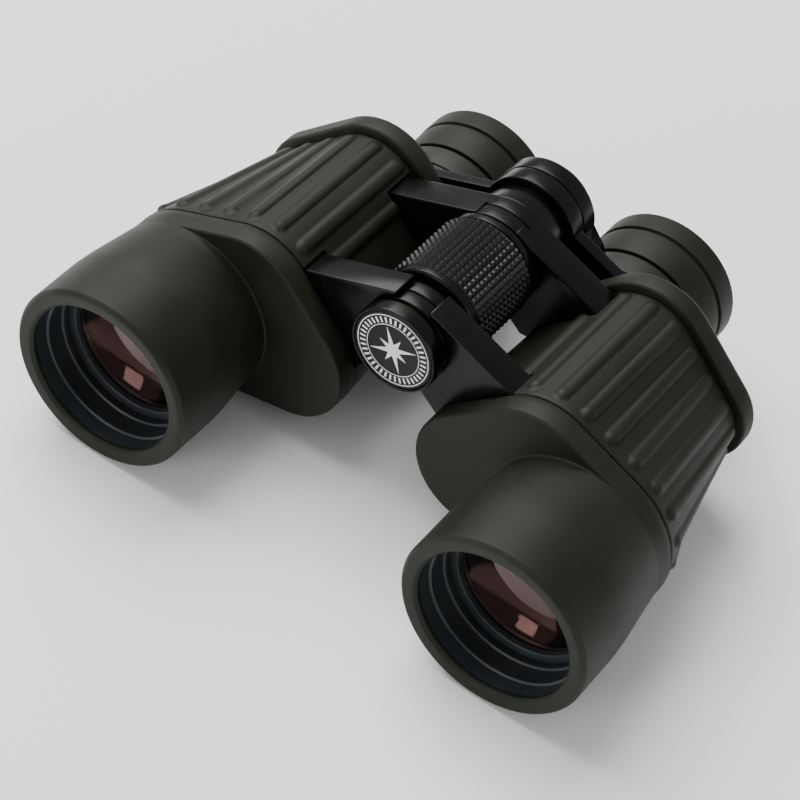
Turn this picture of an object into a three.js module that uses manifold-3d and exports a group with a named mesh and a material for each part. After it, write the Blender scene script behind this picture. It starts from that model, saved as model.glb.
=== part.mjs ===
// Porro-prism binoculars with a centre focus wheel and rubber armour.
// Millimetres. X across, Y along the optical axes (objectives towards -Y, eyecups towards +Y), Z up.
// Inside the model Y = 0 is the objective rims' front and Z = 0 is the hinge axis.
// The outer group then sets the binoculars down with the middle of their footprint at the origin.
import * as THREE from 'three';
import { mergeVertices } from 'three/addons/utils/BufferGeometryUtils.js';
import Module from 'manifold-3d';

const wasm = await Module();
wasm.setup();

// ---- Driving dimensions ------------------------------------------------------------------------
const GAP = 0.3;              // clearance between neighbouring pieces
const OPTICAL_DROP = 24;      // optical axes below the hinge axis
const EYE_HALF = 30.6;        // hinge plane to eyepiece axis
const OBJECTIVE_HALF = 61.8;  // hinge plane to objective axis

// Lengths along Y, front to rear.
const HOOD_LENGTH = 39;       // objective rim to the front cover plate
const FRONT_COVER_DEPTH = 7;
const PRISM_ROOM = 10.08;     // body length beyond the height of the two prisms
const REAR_COVER_DEPTH = 7;
const BRIDGE_STANDOFF = 0.6;  // rear cover to the focusing bridge
const BRIDGE_PLATE = 3.8;     // bridge arm thickness
const BRIDGE_HUB_DEPTH = 11.2;
const RING_DEPTH = 10.3;      // dioptre ring, behind the bridge arm
const EYECUP_DEPTH = 18.2;

// Objective barrel, from the glass outwards.
const LENS_CLEAR_RADIUS = 19;
const LENS_SEAT = 1.1;        // width of lens edge held by its seat
const LIP_STEP = 1.4;         // lens edge to the hood's clear radius
const RIM_THICKNESS = 5.8;    // rubber rim round the hood's mouth
const BARREL_COVER = 4.1;     // lens edge to the outside of the barrel, at the rear
const BARREL_WALL = 2.6;      // rubber and metal round the objective tube, at the rear
const TUBE_WALL = 1.2;
const TUBE_FRONT = 4;         // rim to the front end of the objective tube
const TUBE_STEP = 12;         // lens edge to where the tube narrows
const LENS_FRONT = 16.6;      // rim to the lens edge
const LENS_EDGE = 6;
const LENS_SAGS = [1.9, 0.8]; // front and rear bulge
const LENS_RING_DEPTH = 2.1;
const RIDGE_HEIGHT = 0.9;     // anti-glare ridges inside the objective tube
const RIDGE_WIDTH = 1.2;
const RIDGE_PLACES = [6.4, 12.1];

// Body shell.
const ARMOUR_THICKNESS = 2;
const SHELL_WALL = 2;
const ARMOUR_CLEARANCE = 0.8; // armour's inside to the shell
const REAR_COVER_STEP = 2.5;  // the rear cover stands proud of the armour
const RIB_RADIUS = 1.9;
const RIB_SINK = 1;           // rib centre line below the armour surface
const RIB_PITCH = 8.4;
const RIB_COUNT = 12;
const RIB_MARGIN = 3.5;       // rib end to armour edge

// Focus drive and hinge, from the spindle outwards.
const SPINDLE_RADIUS = 4.6;
const SPINDLE_CLEARANCE = 0.4;
const AXLE_WALL = 2.5;
const KNUCKLE_WALL = 6.6;
const FRONT_ARM_DEPTH = 8.9;
const REAR_ARM_DEPTH = 9.3;
const REAR_ARM_INSET = 1.5;   // rear arm to the end of the body
const KNOB_DEPTH = 4.7;
const KNOB_STEP = 1.2;        // knob inside the knuckles
const BADGE_BORDER = 1;
const BADGE_DEPTH = 0.9;
const WASHER_THICKNESS = 0.6;
const WASHER_INSET = 1.8;
const COLLAR_STEP = 0.5;      // rear collar inside the knuckles
const COLLAR_TAPER = 1.4;
const WHEEL_STEP = 0.7;       // wheel outside the knuckles
const WHEEL_RIM = 2.4;        // plain rim at each end of the wheel
const WHEEL_FRONT_GAP = 1.2;
const WHEEL_REAR_GAP = 0.7;
const GRIP_THICKNESS = 1.5;
const FOCUS_TRAVEL = 6.6;
const PIN_RADIUS = 1.4;
const PIN_INSET = 9;          // wheel's front face to the drive pin
const HUB_WALL = 9.7;         // bridge hub round the spindle
const HUB_CAP_STEP = 2.3;     // cap inside the hub
const HUB_CAP_THICKNESS = 2.6;

// Eyepieces, from the guide tube outwards.
const GUIDE_RADIUS = 14.6;
const GUIDE_WALL = 1.2;
const CELL_WALL = 1.5;
const SLEEVE_CLEARANCE = 0.5;
const SLEEVE_WALL = 2.4;      // fixed sleeve that carries the dioptre ring
const SLEEVE_OVERHANG = 3;    // sleeve behind the dioptre ring
const RING_WALL = 2.5;
const BRIDGE_RING_STEP = 0.4; // bridge's ring outside the dioptre ring
const EYECUP_WALL = 1.2;      // eyecup outside the dioptre ring
const EYECUP_MOUTH_WALL = 2.8;
const EYECUP_STEP_INSET = 2.7; // clear radius behind the eye lens, inside the sleeve
const DIOPTRE_TRAVEL = 1.3;   // each way
const EYE_LOBE_COVER = 3.7;   // body round the guide tube

// Prisms.
const PRISM_END_SHARE = 0.6154; // rounded end's radius over the light's step
const PRISM_APEX_CUT = 1.6;
const PRISM_LOBE_COVER = 8.9;   // body round the upper prism ends
const INNER_LOBE_COVER = 8.7;   // body round the lower prism ends
const OUTER_LOBE_SHARE = 1.6354; // body's rear outer radius over the prism ends' radius
const SHELF_THICKNESS = 3;
const SHELF_CLEARANCE = 1.1;    // shelf edge to shell wall
const STRAP_THICKNESS = 0.7;
const STRAP_WIDTH = 6;
const SCREW_RADIUS = 1.6;
const SCREW_HEAD_RADIUS = 2.9;

const FINE = 28;              // facets round a large circle
const COARSE = 16;            // facets round a small one
const OUTLINE_POINTS = 42;    // points round a body outline
const HULL_POINTS = 60;       // points round a hull of circles

// ---- Derived places ------------------------------------------------------------------------------
const PRISM_STEP = (OBJECTIVE_HALF - EYE_HALF) / 2;      // half the sideways shift of the light
const PRISM_MID_X = EYE_HALF + PRISM_STEP;               // axis between the two prisms
const PRISM_END_RADIUS = PRISM_STEP * PRISM_END_SHARE;
const PRISM_HEIGHT = PRISM_STEP * Math.SQRT2 - PRISM_APEX_CUT;

const COVER_FRONT = HOOD_LENGTH;                         // front cover plate, front face
const BODY_FRONT = COVER_FRONT + FRONT_COVER_DEPTH;      // front cover meets the armoured body
const BODY_REAR = BODY_FRONT + 2 * PRISM_HEIGHT + PRISM_ROOM;
const COVER_REAR = BODY_REAR + REAR_COVER_DEPTH;
const BRIDGE_FRONT = COVER_REAR + BRIDGE_STANDOFF;
const BRIDGE_HUB_REAR = BRIDGE_FRONT + BRIDGE_HUB_DEPTH;
const DIOPTRE_REAR = BRIDGE_FRONT + BRIDGE_PLATE + GAP + RING_DEPTH;
const EYECUP_REAR = DIOPTRE_REAR + EYECUP_DEPTH;
const SHELF_MID = (BODY_FRONT + BODY_REAR + GAP + SHELL_WALL) / 2 - 1;

const LENS_RADIUS = LENS_CLEAR_RADIUS + LENS_SEAT;
const LIP_RADIUS = LENS_RADIUS + LIP_STEP;
const RIM_RADIUS = LIP_RADIUS + RIM_THICKNESS;
const BARREL_REAR_RADIUS = LENS_RADIUS + BARREL_COVER;
const SUPPORT_DROP = OPTICAL_DROP + RIM_RADIUS;          // hinge axis to the surface it stands on

const AXLE_BORE = SPINDLE_RADIUS + SPINDLE_CLEARANCE;
const AXLE_RADIUS = AXLE_BORE + AXLE_WALL;
const KNUCKLE_RADIUS = AXLE_RADIUS + KNUCKLE_WALL;
const KNOB_RADIUS = KNUCKLE_RADIUS - KNOB_STEP;
const BADGE_RADIUS = KNOB_RADIUS - BADGE_BORDER;
const FRONT_ARM = [BODY_FRONT + GAP, BODY_FRONT + GAP + FRONT_ARM_DEPTH];
const REAR_ARM = [BODY_REAR - REAR_ARM_INSET - REAR_ARM_DEPTH, BODY_REAR - REAR_ARM_INSET];
const KNOB_REAR = FRONT_ARM[0] - 2 * GAP - WASHER_THICKNESS;
const KNOB_FRONT = KNOB_REAR - KNOB_DEPTH;
const WHEEL = [FRONT_ARM[1] + WHEEL_FRONT_GAP, REAR_ARM[0] - WHEEL_REAR_GAP];
const WHEEL_RADIUS = KNUCKLE_RADIUS + WHEEL_STEP;
const SPINDLE_PIN_Y = WHEEL[0] + PIN_INSET;
const BRIDGE_HUB_RADIUS = SPINDLE_RADIUS + HUB_WALL;
const HUB_CAP_RADIUS = BRIDGE_HUB_RADIUS - HUB_CAP_STEP;

const CELL_RADIUS = GUIDE_RADIUS - GUIDE_WALL - GAP;
const SLEEVE_BORE = GUIDE_RADIUS + SLEEVE_CLEARANCE;
const SLEEVE_RADIUS = SLEEVE_BORE + SLEEVE_WALL;
const DIOPTRE_RADIUS = SLEEVE_RADIUS + RING_WALL;
const OCULAR_RING_RADIUS = DIOPTRE_RADIUS + BRIDGE_RING_STEP;
const EYECUP_RADIUS = DIOPTRE_RADIUS + EYECUP_WALL;
const EYECUP_MOUTH_RADIUS = EYECUP_RADIUS - EYECUP_MOUTH_WALL;
const EYECUP_STEP_RADIUS = SLEEVE_RADIUS - EYECUP_STEP_INSET;

const EYE_LOBE_RADIUS = Math.max(GUIDE_RADIUS + EYE_LOBE_COVER, PRISM_END_RADIUS + INNER_LOBE_COVER);
const PRISM_LOBE_RADIUS = PRISM_END_RADIUS + PRISM_LOBE_COVER;
const REAR_OUTER_RADIUS = PRISM_END_RADIUS * OUTER_LOBE_SHARE;

// ---- Materials -----------------------------------------------------------------------------------
const finish = (color, roughness, metalness = 0) =>
  new THREE.MeshStandardMaterial({ color, roughness, metalness });
const RUBBER = finish(0x34362f, 0.62);
const PAINT = finish(0x1a1a19, 0.38, 0.2);
const BLACK_METAL = finish(0x141414, 0.45, 0.6);
const STEEL = finish(0x8f9296, 0.3, 1);
const BRASS = finish(0xb08d45, 0.3, 1);
const BADGE = finish(0x1c1c1c, 0.4);
const GLASS = finish(0xb9c4c8, 0.05);
const PLASTIC = finish(0x1d1d1d, 0.5);

// ---- Geometry helpers ----------------------------------------------------------------------------
// A closed three.js geometry as a manifold solid, faces turned outwards.
function solid(geometry) {
  const bare = geometry.clone();
  bare.deleteAttribute('normal');
  bare.deleteAttribute('uv');
  const merged = mergeVertices(bare, 1e-4);
  const vertProperties = new Float32Array(merged.attributes.position.array);
  const triVerts = new Uint32Array(merged.index.array);
  const corner = [0, 1, 2].map(() => new THREE.Vector3());
  let volume = 0;
  for (let i = 0; i < triVerts.length; i += 3) {
    corner.forEach((c, k) => c.fromArray(vertProperties, 3 * triVerts[i + k]));
    volume += corner[0].dot(corner[1].clone().cross(corner[2]));
  }
  if (volume < 0) triVerts.reverse();
  return new wasm.Manifold(new wasm.Mesh({ numProp: 3, vertProperties, triVerts }));
}

// A manifold solid back as a three.js geometry.
function geometryOf(body) {
  const mesh = body.getMesh();
  const geometry = new THREE.BufferGeometry();
  geometry.setAttribute('position', new THREE.BufferAttribute(mesh.vertProperties, 3));
  geometry.setIndex(new THREE.BufferAttribute(mesh.triVerts, 1));
  return geometry;
}

const union = (...bodies) => bodies.reduce((a, b) => a.add(b));
const cut = (body, ...tools) => tools.reduce((a, b) => a.subtract(b), body);

// A solid of revolution about Y from [radius, y] pairs; the profile closes on itself or on the axis.
function turned(profile, segments = FINE) {
  const points = profile.map(([r, y]) => new THREE.Vector2(r, y));
  if (profile[0][0] > 0) points.push(points[0].clone());
  return solid(new THREE.LatheGeometry(points, segments));
}

const rod = (radius, y0, y1, segments = FINE) =>
  turned([[0, y0], [radius, y0], [radius, y1], [0, y1]], segments);
const tube = (outer, inner, y0, y1, segments = FINE) =>
  turned([[inner, y0], [outer, y0], [outer, y1], [inner, y1]], segments);
const at = (body, x, z) => body.translate([x, 0, z]);

// The hull of circles [x, z, radius], seen along Y, as points with evenly turning normals.
function outline(circles, side, count = HULL_POINTS) {
  return Array.from({ length: count }, (_, k) => {
    const turn = (2 * Math.PI * k) / count;
    const n = [Math.cos(turn), Math.sin(turn)];
    const reach = ([x, z, r]) => x * n[0] + z * n[1] + r;
    const [x, z, r] = circles.reduce((a, b) => (reach(b) > reach(a) ? b : a));
    return [side * (x + r * n[0]), z + r * n[1]];
  });
}

// A solid between outlines at two or more stations: [{ y, points: [[x, z], ...] }, ...].
function loft(stations) {
  const area = (ring) => THREE.ShapeUtils.area(ring.map(([x, z]) => new THREE.Vector2(x, z)));
  const clockwise = area(stations[0].points) < 0;
  const rings = stations.map(({ points }) => (clockwise ? [...points].reverse() : points));
  const count = rings[0].length;
  const vertices = rings.flatMap((ring, s) => ring.flatMap(([x, z]) => [x, stations[s].y, z]));
  const index = [];
  for (let s = 0; s + 1 < rings.length; s += 1) {
    for (let k = 0; k < count; k += 1) {
      const [a, b] = [s * count + k, s * count + ((k + 1) % count)];
      index.push(a, b + count, b, a, a + count, b + count);
    }
  }
  // Every outline here is convex, so each end is a fan round its middle.
  const capEnd = (ring, base, rear) => {
    const middle = vertices.length / 3;
    const mean = (axis) => ring.reduce((sum, point) => sum + point[axis], 0) / count;
    vertices.push(mean(0), stations.at(rear ? -1 : 0).y, mean(1));
    for (let k = 0; k < count; k += 1) {
      const [a, b] = [base + k, base + ((k + 1) % count)];
      index.push(middle, ...(rear ? [b, a] : [a, b]));
    }
  };
  capEnd(rings[0], 0, false);
  capEnd(rings.at(-1), (rings.length - 1) * count, true);
  const geometry = new THREE.BufferGeometry();
  geometry.setAttribute('position', new THREE.Float32BufferAttribute(vertices, 3));
  geometry.setIndex(index);
  return solid(geometry);
}

const prismatic = (points, y0, y1) => loft([{ y: y0, points }, { y: y1, points }]);

// A round-ended bar of `radius` between two points.
function bar(start, end, radius) {
  const from = new THREE.Vector3(...start);
  const along = new THREE.Vector3(...end).sub(from);
  const geometry = new THREE.CapsuleGeometry(radius, along.length(), 1, 6);
  geometry.translate(0, along.length() / 2, 0);
  const turn = new THREE.Quaternion().setFromUnitVectors(new THREE.Vector3(0, 1, 0),
    along.clone().normalize());
  geometry.applyQuaternion(turn).translate(...start);
  return solid(geometry);
}

// ---- Body outlines -------------------------------------------------------------------------------
// Each outline is the hull of an eyepiece lobe, an objective lobe, the lobe over the axis between
// the prisms, and the belly.  The body tapers from the front set to the rear set.
const FRONT_LOBES = [
  [EYE_HALF, -OPTICAL_DROP, EYE_LOBE_RADIUS],
  [OBJECTIVE_HALF, -OPTICAL_DROP, BARREL_REAR_RADIUS + 0.6],
  [PRISM_MID_X - 0.7, -OPTICAL_DROP + PRISM_STEP - 2, PRISM_LOBE_RADIUS],
  [PRISM_MID_X, -OPTICAL_DROP, EYE_LOBE_RADIUS],
];
const REAR_LOBES = [
  [EYE_HALF, -OPTICAL_DROP, EYE_LOBE_RADIUS],
  [OBJECTIVE_HALF + 0.5, -OPTICAL_DROP + 1.7, REAR_OUTER_RADIUS],
  [PRISM_MID_X - 1.7, -OPTICAL_DROP + PRISM_STEP - 0.9, PRISM_LOBE_RADIUS],
  [PRISM_MID_X - 1, EYE_LOBE_RADIUS - SUPPORT_DROP, EYE_LOBE_RADIUS],
];

// The place `distance` along a closed outline, with its outward normal: [x, z, nx, nz].  It counts
// over the top towards the objective side, from the point whose normal leans 30 degrees inwards.
function walk(points, distance) {
  const count = points.length;
  let k = Math.round(count / 3);
  let left = distance;
  for (;;) {
    const [a, b] = [points[k % count], points[(k + count - 1) % count]];
    const along = [b[0] - a[0], b[1] - a[1]];
    const length = Math.hypot(...along);
    if (left <= length) {
      const t = left / length;
      return [a[0] + along[0] * t, a[1] + along[1] * t, -along[1] / length, along[0] / length];
    }
    left -= length;
    k = (k + count - 1) % count;
  }
}

const perimeter = (points) => points.reduce((sum, [x, z], i) => {
  const [nextX, nextZ] = points[(i + 1) % points.length];
  return sum + Math.hypot(nextX - x, nextZ - z);
}, 0);

// One end's outline as places with normals.  The first ones keep pace with the ribs, two to a rib
// pitch, and the rest share what is left of the way round.
function endRing(lobes) {
  const hull = outline(lobes, 1);
  const ribbed = RIB_PITCH * (RIB_COUNT - 1);
  const ribSteps = 2 * (RIB_COUNT - 1);
  const plainStep = (perimeter(hull) - ribbed) / (OUTLINE_POINTS - ribSteps);
  return Array.from({ length: OUTLINE_POINTS }, (_, k) => {
    const distance = k < ribSteps ? (ribbed * k) / ribSteps : ribbed + plainStep * (k - ribSteps);
    return walk(hull, distance);
  });
}

const FRONT_RING = endRing(FRONT_LOBES);
const REAR_RING = endRing(REAR_LOBES.map(([x, z, r]) => [x, z, r - REAR_COVER_STEP]));

// Body outline at station y, `inset` inside the armour's surface, on straight lines between the ends.
function section(y, inset, side) {
  const t = (y - BODY_FRONT) / (BODY_REAR - BODY_FRONT);
  const offset = ([x, z, nx, nz]) => [x - inset * nx, z - inset * nz];
  const points = FRONT_RING.map((front, k) => {
    const [a, b] = [offset(front), offset(REAR_RING[k])];
    return [side * (a[0] + (b[0] - a[0]) * t), a[1] + (b[1] - a[1]) * t];
  });
  return { y, points };
}

// Hinge arm seen along Y: from the knuckle to the body shell's sloping inner side.  It leaves the
// knuckle on a tangent and its other corners keep their places round the eyepiece's axis.
function armOutline(side, grow = 0) {
  const leave = [0.375 * KNUCKLE_RADIUS, 0.936 * KNUCKLE_RADIUS];
  const shellSide = [[3, 26.2], [5.4, 24.8], [5.4, 18], [-9.1, 5], [-17.6, 4.4]].map(([x, z], i) =>
    [EYE_HALF + x, z - OPTICAL_DROP + (i < 2 ? grow : 0) - (i > 2 ? grow : 0)]);
  const points = [[leave[0] - grow, leave[1] + grow], ...shellSide, [leave[0] - grow, -leave[1] - grow]];
  return points.map(([x, z]) => [side * x, z]);
}

// ---- Pieces of one half --------------------------------------------------------------------------
// Length of arm that each half's knuckle takes; the halves swap order between the two arms.
function knuckleSpan([y0, y1], first) {
  const middle = (y0 + y1) / 2;
  return first ? [y0, middle - GAP / 2] : [middle + GAP / 2, y1];
}

function hingeArm(side, arm, first) {
  const own = knuckleSpan(arm, first);
  const other = knuckleSpan(arm, !first);
  const web = cut(prismatic(armOutline(side), ...arm),
    rod(KNUCKLE_RADIUS + GAP, other[0] - GAP, other[1] + GAP, COARSE));
  const knuckle = rod(KNUCKLE_RADIUS, ...own, COARSE);
  return cut(web.add(knuckle), rod(AXLE_RADIUS + GAP, arm[0] - 1, arm[1] + 1, COARSE));
}

function prismHousing(side) {
  const outer = ARMOUR_THICKNESS + ARMOUR_CLEARANCE;
  const inner = outer + SHELL_WALL;
  const front = BODY_FRONT + GAP;
  const stations = (inset, ys) => loft(ys.map((y) => section(y, inset, side)));
  const shell = stations(outer, [front, BODY_REAR]);
  const arms = [hingeArm(side, FRONT_ARM, side < 0), hingeArm(side, REAR_ARM, side > 0)];
  const cavity = stations(inner, [front + SHELL_WALL, BODY_REAR + 1]);
  const lightHole = at(rod(LENS_CLEAR_RADIUS, front - 1, front + 5), side * OBJECTIVE_HALF, -OPTICAL_DROP);
  return cut(union(shell, ...arms), cavity, lightHole);
}

function armour(side) {
  const front = BODY_FRONT + GAP;
  const outerSection = (y) => section(y, 0, side);
  const skin = loft([outerSection(front), outerSection(BODY_REAR)]);
  const ribs = Array.from({ length: RIB_COUNT }, (_, k) => {
    const foot = (y) => {
      const [x, z] = section(y, RIB_SINK, side).points[2 * k];
      return [x, y, z];
    };
    return bar(foot(front + RIB_MARGIN), foot(BODY_REAR - RIB_MARGIN), RIB_RADIUS);
  });
  const core = loft([front - 5, BODY_REAR + 5].map((y) => section(y, ARMOUR_THICKNESS, side)));
  const notches = [FRONT_ARM, REAR_ARM].map(([y0, y1]) =>
    prismatic(armOutline(side, GAP), y0 - GAP, y1 + GAP));
  return cut(union(skin, ...ribs), core, ...notches);
}

function frontCover(side) {
  const plate = prismatic(section(BODY_FRONT, 0, side).points, COVER_FRONT, BODY_FRONT);
  const tubeRadius = BARREL_REAR_RADIUS - BARREL_WALL + GAP;
  const wideRadius = tubeRadius + TUBE_WALL;
  const barrel = turned([
    [0, 0.6], [LIP_RADIUS + 0.4, 1.8], [LIP_RADIUS + 1.4, 0.4], [RIM_RADIUS - 2.6, 0],
    [RIM_RADIUS - 0.8, 0.8],
    [RIM_RADIUS, 2.6], [RIM_RADIUS, 0.46 * HOOD_LENGTH], [RIM_RADIUS - 0.9, 0.67 * HOOD_LENGTH],
    [(RIM_RADIUS + 3 * BARREL_REAR_RADIUS) / 4 + 0.1, COVER_FRONT - 1],
    [BARREL_REAR_RADIUS, BODY_FRONT], [0, BODY_FRONT],
  ]);
  const bore = turned([[0, -1], [LIP_RADIUS, -1], [LIP_RADIUS, TUBE_FRONT], [wideRadius, TUBE_FRONT],
    [wideRadius, LENS_FRONT + TUBE_STEP - 2], [tubeRadius, LENS_FRONT + TUBE_STEP],
    [tubeRadius, BODY_FRONT + 1], [0, BODY_FRONT + 1]]);
  return cut(plate.add(at(barrel, side * OBJECTIVE_HALF, -OPTICAL_DROP)),
    at(bore, side * OBJECTIVE_HALF, -OPTICAL_DROP));
}

// Metal tube that holds the objective lens, with two anti-glare ridges in front of the lens.
function objectiveTube() {
  const outer = BARREL_REAR_RADIUS - BARREL_WALL;
  const front = TUBE_FRONT + GAP;
  const seatRear = LENS_FRONT + LENS_EDGE + GAP;
  const bore = LIP_RADIUS + 0.2;
  const crest = bore - RIDGE_HEIGHT;
  const ridges = RIDGE_PLACES.flatMap((y) =>
    [[bore, y], [crest, y], [crest, y + RIDGE_WIDTH], [bore, y + RIDGE_WIDTH]]);
  return turned([
    [bore, front], ...ridges, [bore, LENS_FRONT - GAP],
    [LENS_RADIUS + GAP, LENS_FRONT - GAP], [LENS_RADIUS + GAP, seatRear],
    [LENS_CLEAR_RADIUS, seatRear], [LENS_CLEAR_RADIUS, seatRear + 2],
    [outer - TUBE_WALL, seatRear + 2], [outer - TUBE_WALL, BODY_FRONT - GAP],
    [outer, BODY_FRONT - GAP], [outer, LENS_FRONT + TUBE_STEP],
    [outer + TUBE_WALL, LENS_FRONT + TUBE_STEP - 2 - GAP],
    [outer + TUBE_WALL, front],
  ]);
}

// A lens about Y: rim between y0 and y1, faces bulging by `sags`.
function lens(radius, y0, y1, [frontSag, rearSag], segments = FINE) {
  const steps = 3;
  const dome = (y, sag) => Array.from({ length: steps }, (_, i) => {
    const r = (radius * i) / steps;
    return [r, y - sag * (1 - (r / radius) ** 2)];
  });
  const front = dome(y0, frontSag);
  const rear = dome(y1, -rearSag).reverse();
  return turned([...front, [radius, y0], [radius, y1], ...rear], segments);
}

// Right-angle prism with rounded ends, in its own frame: long face at y = 0, light shift along X,
// apex towards +Y.
function porroPrism(shift) {
  const half = shift / 2;
  const apex = shift - PRISM_APEX_CUT;
  const outlineEnds = [[-half, 0, PRISM_END_RADIUS], [half, 0, PRISM_END_RADIUS]];
  const round = prismatic(outline(outlineEnds, 1, COARSE), 0, apex);
  const wedge = new THREE.Shape([[-shift, 0], [shift, 0], [PRISM_APEX_CUT, apex], [-PRISM_APEX_CUT, apex]]
    .map(([x, y]) => new THREE.Vector2(x, y)));
  const width = 2 * PRISM_END_RADIUS + 2;
  const block = new THREE.ExtrudeGeometry(wedge, { depth: width, bevelEnabled: false });
  return round.intersect(solid(block.translate(0, 0, -width / 2)));
}

// Spring strap over a prism's apex, down both slopes.
function prismStrap(shift) {
  const reach = shift / 2 + PRISM_END_RADIUS - 3;
  const apexY = shift - PRISM_APEX_CUT + GAP;
  const level = (x) => Math.min(apexY, shift - Math.abs(x) + GAP * 1.5);
  const xs = [-reach, -PRISM_APEX_CUT - 0.2, PRISM_APEX_CUT + 0.2, reach];
  const lower = xs.map((x) => [x, level(x)]);
  const upper = xs.map((x) => [x * 1.05, level(x) + STRAP_THICKNESS]).reverse();
  const shape = new THREE.Shape([...lower, ...upper].map(([x, y]) => new THREE.Vector2(x, y)));
  const strip = new THREE.ExtrudeGeometry(shape, { depth: STRAP_WIDTH, bevelEnabled: false });
  return solid(strip.translate(0, 0, -STRAP_WIDTH / 2));
}

function prismShelf(side) {
  const inset = ARMOUR_THICKNESS + ARMOUR_CLEARANCE + SHELL_WALL + SHELF_CLEARANCE;
  const [y0, y1] = [SHELF_MID - SHELF_THICKNESS / 2, SHELF_MID + SHELF_THICKNESS / 2];
  const plate = loft([y0, y1].map((y) => section(y, inset, side)));
  const holes = [
    [OBJECTIVE_HALF, -OPTICAL_DROP], [PRISM_MID_X, -OPTICAL_DROP + PRISM_STEP], [EYE_HALF, -OPTICAL_DROP],
  ].map(([x, z]) => at(rod(PRISM_END_RADIUS - 1, y0 - 1, y1 + 1, COARSE), side * x, z));
  return cut(plate, ...holes);
}

// Places where the rear cover's screws go: below and above the prisms, and at the outer end.
const screwPlaces = [[PRISM_MID_X + 6.9, -16], [PRISM_MID_X + 6.9, 17], [OBJECTIVE_HALF + 8, 1]]
  .map(([x, z]) => [x, z - OPTICAL_DROP]);

function rearCover(side) {
  const plate = prismatic(outline(REAR_LOBES, side), BODY_REAR + GAP, COVER_REAR);
  const hole = at(rod(GUIDE_RADIUS + GAP, BODY_REAR - 1, COVER_REAR + 1), side * EYE_HALF, -OPTICAL_DROP);
  const screwHoles = screwPlaces.map(([x, z]) =>
    at(rod(SCREW_HEAD_RADIUS + GAP, COVER_REAR - 2.2, COVER_REAR + 1, COARSE), side * x, z));
  return cut(plate, hole, ...screwHoles);
}

const coverScrew = () => cut(rod(SCREW_HEAD_RADIUS, COVER_REAR - 1.9, COVER_REAR - 0.4, 10),
  solid(new THREE.BoxGeometry(0.7, 1.2, 2.4 * SCREW_RADIUS).translate(0, COVER_REAR - 0.4, 0)),
  solid(new THREE.BoxGeometry(2.4 * SCREW_RADIUS, 1.2, 0.7).translate(0, COVER_REAR - 0.4, 0)));

// ---- Pieces of one ocular ------------------------------------------------------------------------
const HUB_MIDDLE = (BRIDGE_FRONT + BRIDGE_HUB_REAR) / 2;
const LEFT_HUB = [BRIDGE_FRONT, HUB_MIDDLE - GAP / 2];
const RIGHT_HUB = [HUB_MIDDLE + GAP / 2, BRIDGE_HUB_REAR];

// Arm of the focusing bridge: a plate from the hub to the ring round the eyepiece.
function bridgeArm(side) {
  const [own, other] = side < 0 ? [LEFT_HUB, RIGHT_HUB] : [RIGHT_HUB, LEFT_HUB];
  const hubCircle = [5, -2, BRIDGE_HUB_RADIUS * 0.63];
  const eyeCircle = [EYE_HALF, -OPTICAL_DROP, OCULAR_RING_RADIUS];
  const plate = prismatic(outline([hubCircle, eyeCircle], side, FINE),
    BRIDGE_FRONT, BRIDGE_FRONT + BRIDGE_PLATE);
  const kneeCircle = [EYE_HALF * 0.36, -OPTICAL_DROP * 0.36, BRIDGE_HUB_RADIUS * 0.62];
  const knee = prismatic(outline([hubCircle, kneeCircle], side, FINE), BRIDGE_FRONT, BRIDGE_HUB_REAR);
  const clear = rod(BRIDGE_HUB_RADIUS + GAP, other[0] - GAP, other[1] + GAP, COARSE);
  const hub = rod(BRIDGE_HUB_RADIUS, ...own, COARSE);
  const arm = cut(union(plate, knee), clear).add(hub);
  const bore = (radius, y0, y1) => at(rod(radius + GAP, y0, y1), side * EYE_HALF, -OPTICAL_DROP);
  const plateRear = BRIDGE_FRONT + BRIDGE_PLATE;
  return cut(arm, rod(SPINDLE_RADIUS + GAP, BRIDGE_FRONT - 1, BRIDGE_HUB_REAR + 1, COARSE),
    bore(SLEEVE_RADIUS, BRIDGE_FRONT - 1, plateRear + 1),
    bore(DIOPTRE_RADIUS, plateRear, BRIDGE_HUB_REAR + 1));
}

const SLEEVE_REAR = DIOPTRE_REAR + SLEEVE_OVERHANG;
const CELL_FLANGE = [SLEEVE_REAR + DIOPTRE_TRAVEL + GAP, SLEEVE_REAR + DIOPTRE_TRAVEL + GAP + 1.8];
const EYECUP_STEP = CELL_FLANGE[1] + DIOPTRE_TRAVEL + GAP;

const ocularSleeve = () => tube(SLEEVE_RADIUS, SLEEVE_BORE, BRIDGE_FRONT, SLEEVE_REAR);
const dioptreRing = () =>
  tube(DIOPTRE_RADIUS, SLEEVE_RADIUS + GAP, BRIDGE_FRONT + BRIDGE_PLATE + GAP, DIOPTRE_REAR);
const guideTube = () =>
  tube(GUIDE_RADIUS, GUIDE_RADIUS - GUIDE_WALL, BODY_REAR + 2 * GAP, DIOPTRE_REAR - 2);

function eyecup() {
  const front = DIOPTRE_REAR + GAP;
  return turned([
    [SLEEVE_RADIUS + GAP, front], [DIOPTRE_RADIUS + 0.4, front], [EYECUP_RADIUS - 0.2, front + 8],
    [EYECUP_RADIUS - 0.2, front + 9.6], [EYECUP_RADIUS - 0.5, front + 9.8],
    [EYECUP_RADIUS - 0.5, front + 10.4],
    [EYECUP_RADIUS, front + 10.6], [EYECUP_RADIUS, EYECUP_REAR - 1], [EYECUP_RADIUS - 1, EYECUP_REAR],
    [EYECUP_MOUTH_RADIUS, EYECUP_REAR], [EYECUP_STEP_RADIUS, EYECUP_STEP + 3],
    [EYECUP_STEP_RADIUS, EYECUP_STEP],
    [SLEEVE_RADIUS + GAP, EYECUP_STEP],
  ]);
}

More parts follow.
